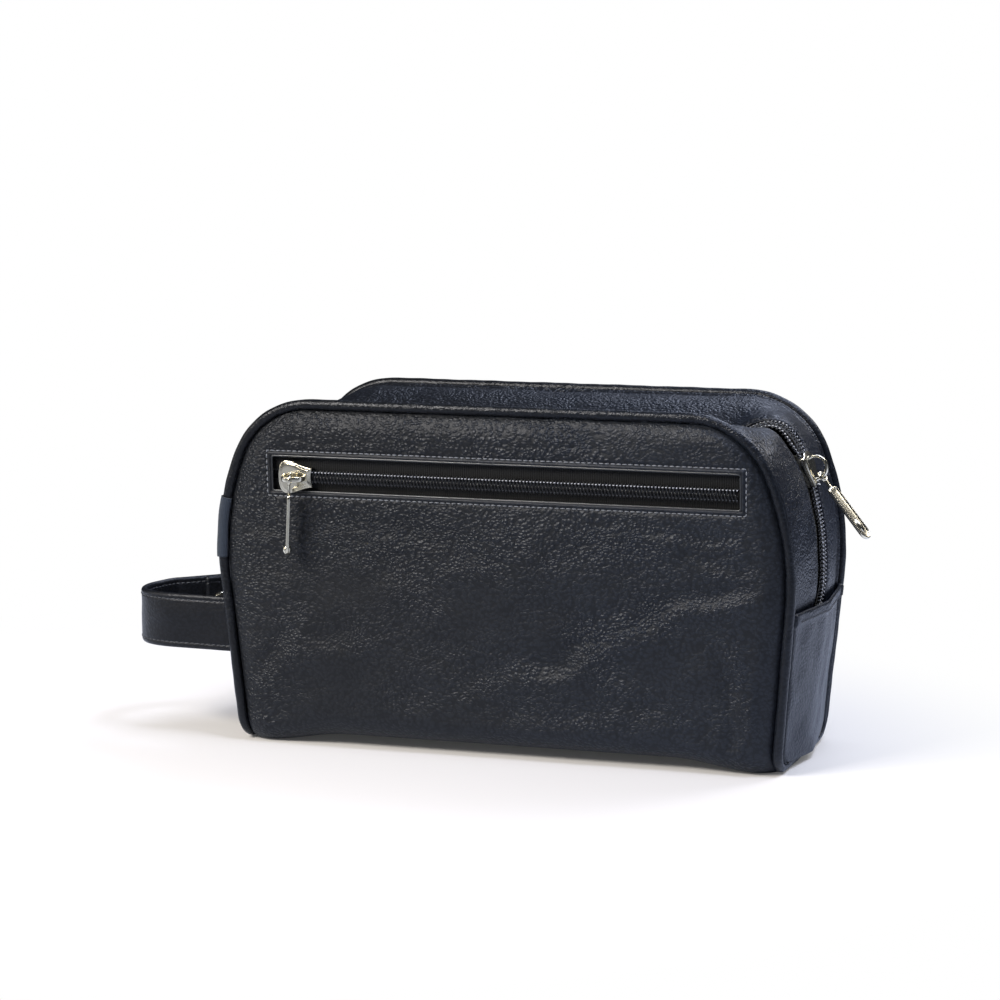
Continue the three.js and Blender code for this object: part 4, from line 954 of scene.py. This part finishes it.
def rounded_rectangle(grow, radius, size):
    """A closed line round the window, grown by a distance, with round corners and points about a
    size apart: its x and z."""
    left, right, low, high = window_left - grow, window_right + grow, window_low - grow, window_high + grow
    turn = np.linspace(0, math.pi / 2, 5)
    spots = []
    for x, z, start in ((right - radius, high - radius, 0), (left + radius, high - radius, 1),
                        (left + radius, low + radius, 2), (right - radius, low + radius, 3)):
        angle = turn + start * math.pi / 2
        spots.append(np.stack([x + radius * np.cos(angle), z + radius * np.sin(angle)], -1))
    spots = np.concatenate(spots + [spots[0][:1]])
    lengths = lengths_along(spots)
    return at_lengths(np.linspace(0, lengths[-1], int(lengths[-1] / size)), lengths, spots).T


# The window's edge: the fold of the leather, sealed with a satin edge paint that catches the light.
FOLD_RADIUS, FOLD_STAND, FOLD_OUT = 0.5, 0.32, 0.3
edge_paint, tree, place = new_material("satin_edge_paint_black")
brushed = node(tree, "TexNoise", Vector=place, Scale=900.0, Detail=2.0)
paint = node(tree, "BsdfPrincipled", Base_Color="#202226", Specular_IOR_Level=0.8,
             Roughness=node(tree, "MapRange", brushed, 0.0, 1.0, 0.24, 0.44))
node(tree, "OutputMaterial", Surface=paint)
fold_x, fold_z = rounded_rectangle(FOLD_OUT, 0.5, 1.2)
across = unit(np.gradient(np.stack([fold_z, -fold_x], -1), axis=0)[:-1])
fold_x, fold_z = fold_x[:-1, None], fold_z[:-1, None]
turn = np.linspace(0, 2 * math.pi, 10, endpoint=False)
aside = FOLD_RADIUS * np.cos(turn)
fold = np.stack([fold_x + aside * across[:, :1],
                 FOLD_STAND - half_depth(fold_z) - CROWN - FOLD_RADIUS * np.sin(turn),
                 fold_z + aside * across[:, 1:]], -1)
sheet("pocket_window_edge", fold, edge_paint, joins=(True, True))


def coil_stitches(name, place, start, end, count, size, yarn):
    """The rows of thread that hold a coil down: place(along, level) puts them on the bag."""
    at = np.linspace(start, end, count)
    line = place(at, COIL_SEAM_LEVEL)
    stitch_row(f"{name}_thread", line, place(at, coil_middle + 2) - line, "root",
               COIL_STITCH_GAP, size, yarn)


for name, side, yarn in (("upper", 1, coil_thread), ("lower", -1, thread)):
    coil_stitches("pocket_coil_" + name, lambda x, level: on_pocket(x, side * COIL_SEAM, level),
                  pocket_slider_x + 2, window_right - 0.4, 300, POCKET_PITCH, yarn)
for half, _ in HALVES:
    coil_stitches("main_coil_" + half, lambda along, level: on_strip(half, along, -COIL_SEAM, level),
                  zip_start + STOP + 0.6, zip_end - STOP - 0.6, 500, COIL_PITCH, coil_thread)

# Round the window the stitches lie in the groove of the panel, on its crown and creases
x, z = rounded_rectangle(STITCH_OUT, 0.6, 1.0)
from_side, from_top = edge(z, PANEL_INSET) - abs(x), face_top - z
level = half_depth(z) + CROWN * crown_ramp(from_side) * crown_ramp(from_top) - 0.3
level = level + 0.22 * face_creases(x, z) * smooth(np.minimum(from_side, from_top), 1, 12)
stitch_row("pocket_window_stitching", np.stack([x, -level, z], -1), np.tile(pocket_out, (len(x), 1)),
           yarn=window_thread)
for half, _ in HALVES:
    at = np.linspace(zip_start + 8, zip_end - 8, 380)
    line, above = (on_strip(half, at, -LEATHER_FROM_CHAIN - 2.2, level) for level in (-0.3, 1))
    stitch_row(f"zip_gusset_{half}_stitching", line, above - line)
for name, side in SIDES:
    y = np.linspace(-37, 37, 90)
    half = float(half_depth(HEM_HEIGHT))
    along = along_at(HEM_HEIGHT - 4.2)
    x, z, out_x, out_z = seam(along if side > 0 else seam_length - along)
    calm = 0.4 * smooth(half - abs(y), 2, 9)
    out = GUSSET_STAND + side_crease(side, y / half) + HEM_THICKNESS + calm * side_wave(side, y, z + 0 * y)
    line = np.stack([x + out * out_x, y, z + out * out_z], -1)
    stitch_row(f"side_hem_{name}_stitching", line, np.tile([float(out_x), 0.0, float(out_z)], (len(y), 1)))

# Zip sliders
# Die cast zinc, tumbled and nickel plated: an upper and a lower plate joined at the nose, with side
# walls that press the coils together, and a bail on top that the pull hangs from.
NOSE, TAIL, PLATE, PLATE_FOOT, WALL = 7.4, 4.4, 1.2, 1.1, 0.9
MAIN_UNDER, NOTCH, STUB, WALL_LIFT = -3.9, 1.5, 0.1, 0.6
CROWN_SEAT = PLATE_FOOT + PLATE + 0.4
BAIL_RADIUS, BAIL_BAR, BAIL_WIDTH, BAIL_LEG, BAIL_ROUND = 5.0, 1.2, 2.2, 0.8, 0.62
BAIL_FOOT = CROWN_SEAT + GAP
MERGE, SHARP = 0.000002, math.radians(50)
bail_centre = BAIL_FOOT + BAIL_LEG
# The plates' outlines from the side that faces the coils, round the rim and over the face: inset and
# height, the lower plate's counted from its inner side. Then the plan of the wedge's stubs.
TOP_PLATE = [(1.4, PLATE_FOOT), (0.2, PLATE_FOOT), (0, PLATE_FOOT + 0.2), (0, 1.85), (0.12, 2.12), (0.4, 2.3),
             (0.9, 2.4), (1.15, 2.46), (1.4, 2.6), (1.9, 2.68), (3.0, 2.72), (3.9, 2.74)]
LOW_PLATE = [(1.4, 0), (0.2, 0), (0, -0.2), (0, -0.8), (0.3, -1.15), (1.0, -PLATE), (3.6, -PLATE)]
WEDGE = [(2.5, 0.0), (4.5, -0.95), (7.0, -1.5), (7.2, -1.2), (7.2, 1.2), (7.0, 1.5), (4.5, 0.95)]


def nickel_material():
    """Bright nickel plate over tumbled zinc: mirror-like, a touch warm, with a soft orange peel and
    fine rubbed scratches that spread the highlights."""
    material, tree, place = new_material("nickel_plated_zinc")
    peel = node(tree, "TexNoise", Vector=place, Scale=380.0, Detail=2.0)
    drawn = node(tree, "Mapping", Vector=place, Scale=(1, 1, 9))
    rubbed = node(tree, "TexNoise", Vector=drawn, Scale=1500.0, Detail=3.0)
    relief = node(tree, "Math", rubbed, 0.04, peel, operation="MULTIPLY_ADD")
    tone = node(tree, "Mix", data_type="RGBA", Factor=peel, A="#d3ccb8", B="#f3eedd")
    surface(tree, relief, 0.05, 0.0001, Base_Color=tone,
            Roughness=node(tree, "MapRange", rubbed, 0.35, 0.7, 0.16, 0.24), Metallic=1.0)
    return material


nickel = nickel_material()


def curve(points, count):
    """A quadratic or cubic Bezier curve through its first and last points, without the last one."""
    t = np.linspace(0, 1, count, endpoint=False)[:, None]
    spots = [np.array(spot, float) for spot in points]
    while len(spots) > 1:
        spots = [(1 - t) * a + t * b for a, b in zip(spots, spots[1:])]
    return spots[0]


def slider_outline(shrink, widest=NOSE):
    """The slider from above, drawn in by an inset: a narrow notched tail, flanks that swell to the
    shoulders, and a round nose."""
    tail, nose = -SLIDER_LENGTH / 2 + shrink, SLIDER_LENGTH / 2 - shrink
    wide, narrow = widest - shrink, TAIL - shrink
    flank = curve([(tail, -narrow), (tail / 2, -narrow), (0, -wide), (nose / 2, -wide)], 16)
    lower = np.concatenate([flank, curve([(nose / 2, -wide), (nose, -wide), (nose, 0)], 12)])
    notch = curve([(tail, narrow), (tail + NOTCH, 0), (tail, -narrow)], 9)
    return np.concatenate([lower, [[nose, 0.0]], lower[:0:-1] * [1, -1], notch])


def at_height(outline, height):
    """An outline lifted to a height."""
    return np.concatenate([outline, np.full((len(outline), 1), height)], 1)


def ring_stack(outline, levels):
    """Rings of an outline drawn in by each level's inset, at each level's height, closed at both ends."""
    rings = [at_height(outline(inset), height) for inset, height in levels]
    return np.array([rings[0] * [0.9, 0.02, 1], *rings, rings[-1] * [0.9, 0.02, 1]])


def joined(name, grids, material, body, replaced=(), axes=None, grain=None):
    """One piece from several grids that close round their columns, each put on the bag by axes: an
    origin, then x, y and z. Open ends of a grid are filled."""
    spots, faces, start = [], [], 0
    for points in grids:
        if axes is not None:
            points = axes[0] + points @ np.array(axes[1:])
        rows, columns = points.shape[:2]
        number = np.arange(rows * columns).reshape(rows, columns) + start
        start += rows * columns
        spots.append(points.reshape(-1, 3))
        inner = np.hstack([number, number[:, :1]])
        quads = np.stack([inner[:-1, :-1], inner[:-1, 1:], inner[1:, 1:], inner[1:, :-1]], -1)
        faces += quads.reshape(-1, 4).tolist()
        if not np.allclose(points[0], points[-1]):
            faces += [number[0, ::-1].tolist(), number[-1].tolist()]
    piece = new_piece(name, np.concatenate(spots), faces, material, body, replaced)
    work = bmesh.new()
    work.from_mesh(piece.data)
    bmesh.ops.remove_doubles(work, verts=work.verts, dist=MERGE)
    bmesh.ops.recalc_face_normals(work, faces=work.faces)
    work.to_mesh(piece.data)
    work.free()
    if grain is not None:
        set_grain(piece, grain)
    piece.data.set_sharp_from_angle(angle=SHARP)
    return piece


def slider_grids(widest, under):
    """The two plates as stacks of rings, the two side walls, and the wedge that parts the coils, as a
    stub on each plate that stops short of them."""
    wall_foot = tape_top + WALL_LIFT
    outer, inner = slider_outline(0, widest)[1:20], slider_outline(WALL, widest)[1:20]
    section = [(outer, wall_foot + 0.3), (outer, PLATE_FOOT + STUB), (inner, PLATE_FOOT + STUB),
               (inner, wall_foot), (outer * [1, 0.98], wall_foot)]
    wall = np.stack([at_height(line, height) for line, height in section], 1)
    stubs = [(under - STUB, under + 1.4), (PLATE_FOOT - STUB, PLATE_FOOT + STUB)]
    return [ring_stack(slider_outline, TOP_PLATE),
            ring_stack(slider_outline, [(inset, under + level) for inset, level in LOW_PLATE]),
            wall, wall * [1, -1, 1],
            *(np.stack([at_height(np.array(WEDGE), height) for height in ends]) for ends in stubs)]


def bail_grid():
    """The bail: a bar of rounded section, 2.2 by 1.2 mm, bent to a half circle with short legs that
    spread where they join the plate."""
    turn = np.linspace(math.pi, 0, 25)
    arc = np.stack([BAIL_RADIUS * np.cos(turn), BAIL_LEG + BAIL_RADIUS * np.sin(turn)], -1)
    left = np.array([(-BAIL_RADIUS, height) for height in (-0.6, -0.1, 0.4)])
    path = np.concatenate([left, arc, left[::-1] * [-1, 1]])
    tangent = unit(np.gradient(path, axis=0))
    angle = np.linspace(0, 2 * math.pi, 16, endpoint=False)
    across, around = (np.sign(part) * np.abs(part) ** BAIL_ROUND for part in (np.cos(angle), np.sin(angle)))
    foot = 1 + 0.35 * np.exp(-np.maximum(path[:, 1], 0) / 0.5)
    wide = BAIL_WIDTH / 2 * foot * (1 + 0.12 * np.sin(np.linspace(0, math.pi, len(path))))
    off = (BAIL_BAR / 2 * foot)[:, None] * across
    x = path[:, :1] - off * tangent[:, 1:]
    z = path[:, 1:] + off * tangent[:, :1] + BAIL_FOOT
    return np.stack([x, wide[:, None] * around, z], -1)


# Pulls
# Die cast and nickel plated as the sliders are: an eye for the bail, a short neck, and a long round
# ended tab with a rim round its sunk face and an oval grip raised near the tip.
EYE, EYE_HOLE, NECK_END, NECK_HALF = 2.6, 1.6, 6.0, 1.3
PULL_LENGTH, PULL_HALF, PULL_THICK = 36.0, 4.0, 1.4
# Each pull's grip: its middle along the tab, its length, and how far it stands out
MAIN_GRIP = (PULL_LENGTH - EYE - 7.0, 7.0, 1.0)
POCKET_GRIP = (PULL_LENGTH - EYE - 2.2, 5.0, 2.0)
# The tab's sunk face and rim: inset, and depth below its highest level
PULL_RIM = [(3.4, 0.42), (1.35, 0.42), (1.08, 0.38), (0.95, 0.12), (0.8, 0), (0.35, 0), (0.1, 0.12),
            (0, 0.35)]
MAIN_HANG, MAIN_ROLL = math.radians(72), math.radians(12)
POCKET_LEAN, POCKET_TWIST = math.radians(4), math.radians(22)


def pull_outline(inset):
    """The tab from above: soft corners at the neck and a half round tip."""
    start, end, side = NECK_END + inset, PULL_LENGTH - EYE - inset, PULL_HALF - inset
    turn = np.linspace(-math.pi / 2, math.pi / 2, 22)
    tip = np.stack([end - side + side * np.cos(turn), side * np.sin(turn)], -1)
    near = curve([(start, -side / 2), (start, -side), (start + side / 2, -side)], 6)
    stem = np.stack([np.linspace(start + side / 2, end - side, 14)[:-1], np.full(13, -side)], -1)
    lower = np.concatenate([near, stem])
    return np.concatenate([lower, tip, lower[::-1] * [1, -1]])


def pull_grids(grip_at, grip_length, grip_depth):
    """Rings from one sunk face over its rim, round the edge, to the other face; then the eye as a
    closed ring, the neck and the oval grip."""
    half = PULL_THICK / 2
    face = [(inset, half - sunk) for inset, sunk in PULL_RIM]
    tab = ring_stack(pull_outline, face + [(inset, -height) for inset, height in reversed(face)])
    tab[[0, -1], :, 0] = tab[[1, -2], :, 0]
    turn = np.linspace(0, 2 * math.pi, 37)[:, None]
    ring_turn = np.linspace(0, 2 * math.pi, 12, endpoint=False)
    level, aside = np.sin(ring_turn), np.cos(ring_turn)
    radius = (EYE + EYE_HOLE) / 2 + (EYE - EYE_HOLE) / 2 * aside
    eye = np.stack([radius * np.cos(turn), radius * np.sin(turn), half * level + 0 * turn], -1)
    stretch = np.linspace(EYE_HOLE + 0.4, NECK_END + 1.1, 10)[:, None]
    waist = NECK_HALF * (1 + 0.5 * ((stretch - 4.2) / 3) ** 2)
    neck = np.stack([stretch + 0 * aside, waist * aside, half * 0.92 * level + 0 * stretch], -1)
    rise = np.linspace(-math.pi / 2 + 0.05, math.pi / 2 - 0.05, 15)[:, None]
    grip = np.stack([grip_at + grip_length / 2 * np.sin(rise) + 0 * aside,
                     (PULL_HALF - 1.8) * np.cos(rise) * aside, grip_depth * np.cos(rise) * level], -1)
    return [tab, eye, neck, grip]


def turned_pull(origin, along, across, face, angle):
    """A pull's axes, turned about its own length."""
    return (origin, along, math.cos(angle) * across + math.sin(angle) * face,
            math.cos(angle) * face - math.sin(angle) * across)


def slider(name, widest, under, axes, grip, pull_axes):
    """A slider with its bail and its pull."""
    for piece, grids, body, replaced, where in (
            ("slider_metal", slider_grids(widest, under), "slider", "slider_body", axes),
            ("slider_bail", [bail_grid()], "slider", "slider_crown", axes),
            ("pull_metal", pull_grids(*grip), "pull", "pull_tab", pull_axes)):
        joined(f"{name}_{piece}", grids, nickel, f"{name}_{body}", [f"{name}_{replaced}"], where)


out_x, out_z = (float(value) for value in seam(slider_along)[2:])
main_out, main_up = np.array([out_x, 0, out_z]), np.array([-out_z, 0, out_x])
seat = on_strip("front", np.array([slider_along]), 0.0, 0.0)[0] * [1, 0, 1]
down = main_out * math.cos(MAIN_HANG) - main_up * math.sin(MAIN_HANG)
level_across = np.array([0.0, 1.0, 0.0])
slider("main", NOSE, MAIN_UNDER, (seat, main_up, -level_across, main_out), MAIN_GRIP,
       turned_pull(seat + main_out * bail_centre + down * BAIL_RADIUS, down, level_across,
                   np.cross(down, level_across), MAIN_ROLL))
pocket_seat, apex = on_pocket(pocket_slider_x, 0.0, np.array([0.0, bail_centre + BAIL_RADIUS]))
hang = -math.sin(POCKET_LEAN) * pocket_x - math.cos(POCKET_LEAN) * pocket_up
hole_way = math.cos(POCKET_LEAN) * pocket_x - math.sin(POCKET_LEAN) * pocket_up
slider("pocket", TAIL, POCKET_UNDER, (pocket_seat, -pocket_x, -pocket_up, pocket_out), POCKET_GRIP,
       turned_pull(apex, hang, np.cross(hole_way, hang), hole_way, -POCKET_TWIST))
for stop in ("main_top_stop_front", "main_top_stop_rear", "main_end_stop"):
    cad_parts[stop].data.materials.clear()
    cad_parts[stop].data.materials.append(nickel)

# Wrist strap
# Two layers of hide, 25 mm wide and 3 mm thick, edge folded and stitched. It leaves the front left
# seam, turns in a tight bend and comes back to a free end, which snaps on to a short tab.
STRAP_WIDTH, STRAP_THICK, STRAP_MIDDLE, STRAP_REACH, STRAP_GAP = 25.0, 3.0, 52.5, 54.0, 3.0
SNAP_RADIUS, TAB_PAST_SNAP, END_PAST_SNAP, FOLD_FROM_SNAP, FOLD_RUN = 5.5, 8.0, 14.0, 18.0, 3.0
SNAP_SHARE, STRAP_ROUND, EDGE_ROUND, GROOVE_IN, END_STEP = 0.55, 1.5, 1.2, 2.6, 0.22
# The loop from above, as shares of its reach and of the root's place across
ROUTE = [(0, -1), (0.32, -1.01), (0.62, -0.985), (0.83, -0.87), (0.955, -0.65), (0.99, -0.4), (0.965, -0.16)]
strap_edge = float(edge(STRAP_MIDDLE, 0))
strap_stand = GUSSET_STAND + 0.6
strap_root_y = float(half_depth(STRAP_MIDDLE)) - SEAM_INSET - STRAP_THICK / 2 - GAP


def beside(share, y):
    """A place left of the bag, at a share of the strap's reach."""
    return np.array([-strap_edge - strap_stand - share * (STRAP_REACH - strap_stand), y, 0.0])


root_at, snap_at = beside(0, strap_root_y), beside(SNAP_SHARE, 0)
snap_at[1] = strap_root_y - abs(snap_at[0] - root_at[0])
away = unit(snap_at - root_at)
outward = np.array([away[1], -away[0], 0.0])
fold_at = snap_at + outward * (STRAP_THICK + STRAP_GAP) + away * FOLD_FROM_SNAP
route = [*(beside(a, b * strap_root_y) for a, b in ROUTE), fold_at + away * FOLD_RUN, fold_at]


def catmull(points, count):
    """A centripetal Catmull-Rom curve through points, at evenly spaced lengths along it."""
    p = np.array([2 * points[0] - points[1], *points, 2 * points[-1] - points[-2]])
    t = np.concatenate([[0], np.cumsum(np.sqrt(np.linalg.norm(np.diff(p, axis=0), axis=1)))])
    spots = []
    for i in range(1, len(p) - 2):
        s = np.linspace(t[i], t[i + 1], 60)[:, None]
        lerp = lambda a, b, ta, tb: (tb - s) / (tb - ta) * a + (s - ta) / (tb - ta) * b
        a = [lerp(p[i - 1 + k], p[i + k], t[i - 1 + k], t[i + k]) for k in range(3)]
        b = [lerp(a[k], a[k + 1], t[i - 1 + k], t[i + 1 + k]) for k in range(2)]
        spots.append(lerp(b[0], b[1], t[i], t[i + 1])[:-1])
    spots = np.concatenate([*spots, [p[-2]]])
    lengths = lengths_along(spots)
    return at_lengths(np.linspace(0, lengths[-1], count), lengths, spots)


def strap_section():
    """The strap's section as a closed line of levels and heights: round folded edges, a stitch groove
    near each edge on both sides, and faces that swell a little between them."""
    half, thick = STRAP_WIDTH / 2, STRAP_THICK / 2
    margin = np.linspace(-half + EDGE_ROUND, -half + 4, 9)
    z = np.concatenate([margin, np.linspace(-half + 4.5, half - 4.5, 12), -margin[::-1]])
    groove = 0.26 * hump(half - np.abs(z), GROOVE_IN, 0.35)
    level = thick - 0.22 + 0.22 * (1 - (z / half) ** 2) ** 0.5 - groove
    turn = np.linspace(0, math.pi, 9)[1:-1]
    cap = np.stack([(thick - 0.25) * np.cos(turn), half - EDGE_ROUND + EDGE_ROUND * np.sin(turn)], -1)
    outer = np.stack([level, z], -1)
    return np.concatenate([outer, cap, (outer * [-1, 1])[::-1], cap[::-1] * [1, -1]])


def on_strap(line, level, z, follow=0.0):
    """Points of a strap along a line, at a level out of the band's middle and a height z over it. The
    band sways up and down, leans with the bag's side at the seam, and waves a little between its ends.
    follow says how far the wave is read where the sway puts a point."""
    lengths = lengths_along(line)[:, None]
    tangent = unit(np.gradient(line, axis=0))
    sway = 0.35 * np.sin(lengths / 19)
    height = STRAP_MIDDLE + z + sway
    lean = np.maximum(0, 1 - 2 * lengths / lengths[-1]) * (strap_edge - edge(height, 0))
    calm = smooth(np.minimum(lengths[-1] - lengths, lengths), 2, 12)
    out = level + 0.22 * ripple(lengths, (z + follow * sway) * 1.3, 61, 22) * calm
    x = line[:, :1] - out * tangent[:, 1:2] + lean
    return np.stack([x, line[:, 1:2] + out * tangent[:, :1], height], -1)


def strap_piece(name, line, body, replaced=()):
    """A strap along a line. Its section closes over the last millimetre and a half of the free end."""
    level, z = strap_section().T[:, None]
    left = lengths_along(line[::-1])[::-1, None]
    close = np.sqrt(np.clip(1 - (1 - np.minimum(1, left / STRAP_ROUND)) ** 2, 0.02, 1))
    points = on_strap(line, level * close, z * (1 - 0.08 * (1 - close)))
    return joined(name, [points], strap_leather, body, replaced, grain=0.4)


def straight(start, end, size):
    """Points on a straight line, about a size apart."""
    share = np.linspace(0, 1, int(np.linalg.norm(end - start) / size) + 2)[:, None]
    return start + share * (end - start)


def to_free_end(start, end, size):
    """A straight line whose points lie closer together where a free end rounds off."""
    near = end - unit(end - start) * STRAP_ROUND
    return np.concatenate([straight(start, near, size), straight(near, end, END_STEP)[1:]])


strap_leather = leather_material("strap_cowhide_black", "#0a0b0e", "#14161b", 1.3, 0.16, 0.34)
loop_line = catmull(route, 170)
hidden = loop_line[0] + unit(loop_line[0] - loop_line[1]) * 2.2
free_end = fold_at - away * (FOLD_FROM_SNAP + END_PAST_SNAP)
whole_line = np.concatenate([straight(hidden, loop_line[0], 1.0)[:-1], loop_line,
                             to_free_end(fold_at, free_end, 1.2)[1:]])
strap = strap_piece("strap_leather", whole_line, None)
strap_parts = [strap]
tangent = unit(np.gradient(whole_line, axis=0))
band_out = np.stack([-tangent[:, 1], tangent[:, 0], 0 * tangent[:, 0]], -1)
for edge_name, z in (("high", STRAP_WIDTH / 2 - GROOVE_IN), ("low", GROOVE_IN - STRAP_WIDTH / 2)):
    for face_name, face in (("out", 1), ("in", -1)):
        row = on_strap(whole_line, face * (STRAP_THICK / 2 - 0.22), z, follow=1.0)[:, 0]
        strap_parts.append(stitch_row(f"strap_stitching_{edge_name}_{face_name}", row[4:-6],
                                      face * band_out[4:-6], body=None))
for piece in strap_parts:
    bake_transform(piece)
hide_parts("strap_loop", "strap_free_end")

# Snap tab
# The short mate of the strap, out of the rear left seam, which carries the snap's stud.
strap_piece("strap_tab_leather", to_free_end(root_at - away * 0.8, snap_at + away * TAB_PAST_SNAP, 1.0),
            "root", ["strap_rear_tab"])

# Snap
# A pressed brass snap, nickel plated: rivet ring and stud on the tab, socket and domed cap on the
# free end, all turned about one axis.
snap_axes = (snap_at + [0, 0, STRAP_MIDDLE], away, [0.0, 0.0, 1.0], np.cross(away, [0.0, 0.0, 1.0]))
shank = SNAP_RADIUS / 3 - 0.3
half_strap = STRAP_THICK / 2
SNAP_PARTS = {
    # node: body, foot, and the outline round the axis as radius and height over the foot
    "snap_rivet": ("root", -half_strap, [
        (0, -0.55), (2.2, -0.55), (2.9, -0.75), (3.5, -1.15), (4.3, -1.4), (5.0, -1.25), (5.4, -0.8),
        (5.5, -0.1), (shank, -0.1), (shank, STRAP_THICK - 0.2), (0, STRAP_THICK - 0.2)]),
    "snap_stud": ("root", half_strap, [
        (0, 0.1), (4.5, 0.1), (4.9, 0.35), (4.6, 0.75), (2.0, 0.95), (1.55, 1.4), (1.75, 2.0), (1.6, 2.45),
        (1.1, 2.65), (0, 2.7)]),
    "snap_socket": ("strap_end", half_strap, [
        (2.1, 1.3), (2.6, 1.25), (4.6, 1.35), (5.2, 1.7), (5.5, 2.3), (5.4, STRAP_GAP - 0.05),
        (2.1, STRAP_GAP - 0.05), (2.1, 1.3)]),
    "snap_cap": ("strap_end", half_strap + STRAP_GAP + STRAP_THICK, [
        (0, 0.1), (5.6, 0.1), (6.05, 0.45), (5.9, 0.95), (4.9, 1.6), (3.2, 2.1), (1.5, 2.35), (0, 2.4)]),
}
turn = np.linspace(0, 2 * math.pi, 48, endpoint=False)
for name, (body, foot, outline) in SNAP_PARTS.items():
    rings = [at_height(radius * np.stack([np.cos(turn), np.sin(turn)], -1), foot + height)
             for radius, height in outline]
    joined(name + "_metal", [np.array(rings)], nickel, body, [name], snap_axes)

# Side label
# A blank damask tag, folded round the piping on the left and caught in its seam.
LABEL_LOW, LABEL_LENGTH, LABEL_CLOTH = 84.5, 27.0, 0.45
label_cloth = woven_material("damask_label_slate", "#151b24", "#2d3643", 0.55, 0.6, 0.8)
a0, a1 = float(along_at(LABEL_LOW)), float(along_at(LABEL_LOW + LABEL_LENGTH))
along = np.linspace(a0, a1, 46)[:, None]
turn = np.radians(np.linspace(-58, 140, 34))[None]
x, z, out_x, out_z = seam(seam_length - along)
radius = PIPING_RADIUS + 0.35 + 0.1 * np.sin((along - a0) / 3.1 + turn) + 0.5 * hump(turn, 2.4, 0.35)
flare = radius * np.sin(turn)
points = np.stack([x + flare * out_x, -half_depth(z) - radius * np.cos(turn), z + flare * out_z], -1)
sheet("label_cloth", points, label_cloth, ["label_tab"], LABEL_CLOTH,
      uv=grid_uv(along, radius * turn), offset=1)

# Stiffening board
# Grey board between the floor's hide and its lining, out of sight, which takes the floor's bow.
board_fibre, tree, place = new_material("pressed_fibreboard")
fibre = node(tree, "TexNoise", Vector=place, Scale=700.0, Detail=4.0)
pulp = node(tree, "Mix", data_type="RGBA", Factor=fibre, A="#4d4338", B="#7b6c58")
surface(tree, fibre, 0.4, 0.0002, Base_Color=pulp, Roughness=0.9)
_, _, points = floor_points(float(edge(0, BOARD_MARGIN)), roll_depth - BOARD_MARGIN + 1, (60, 20),
                            lambda x, y: board_top)
sheet("base_board_fibre", points, board_fibre, ["base_board"], BOARD)


bpy.context.view_layer.update()
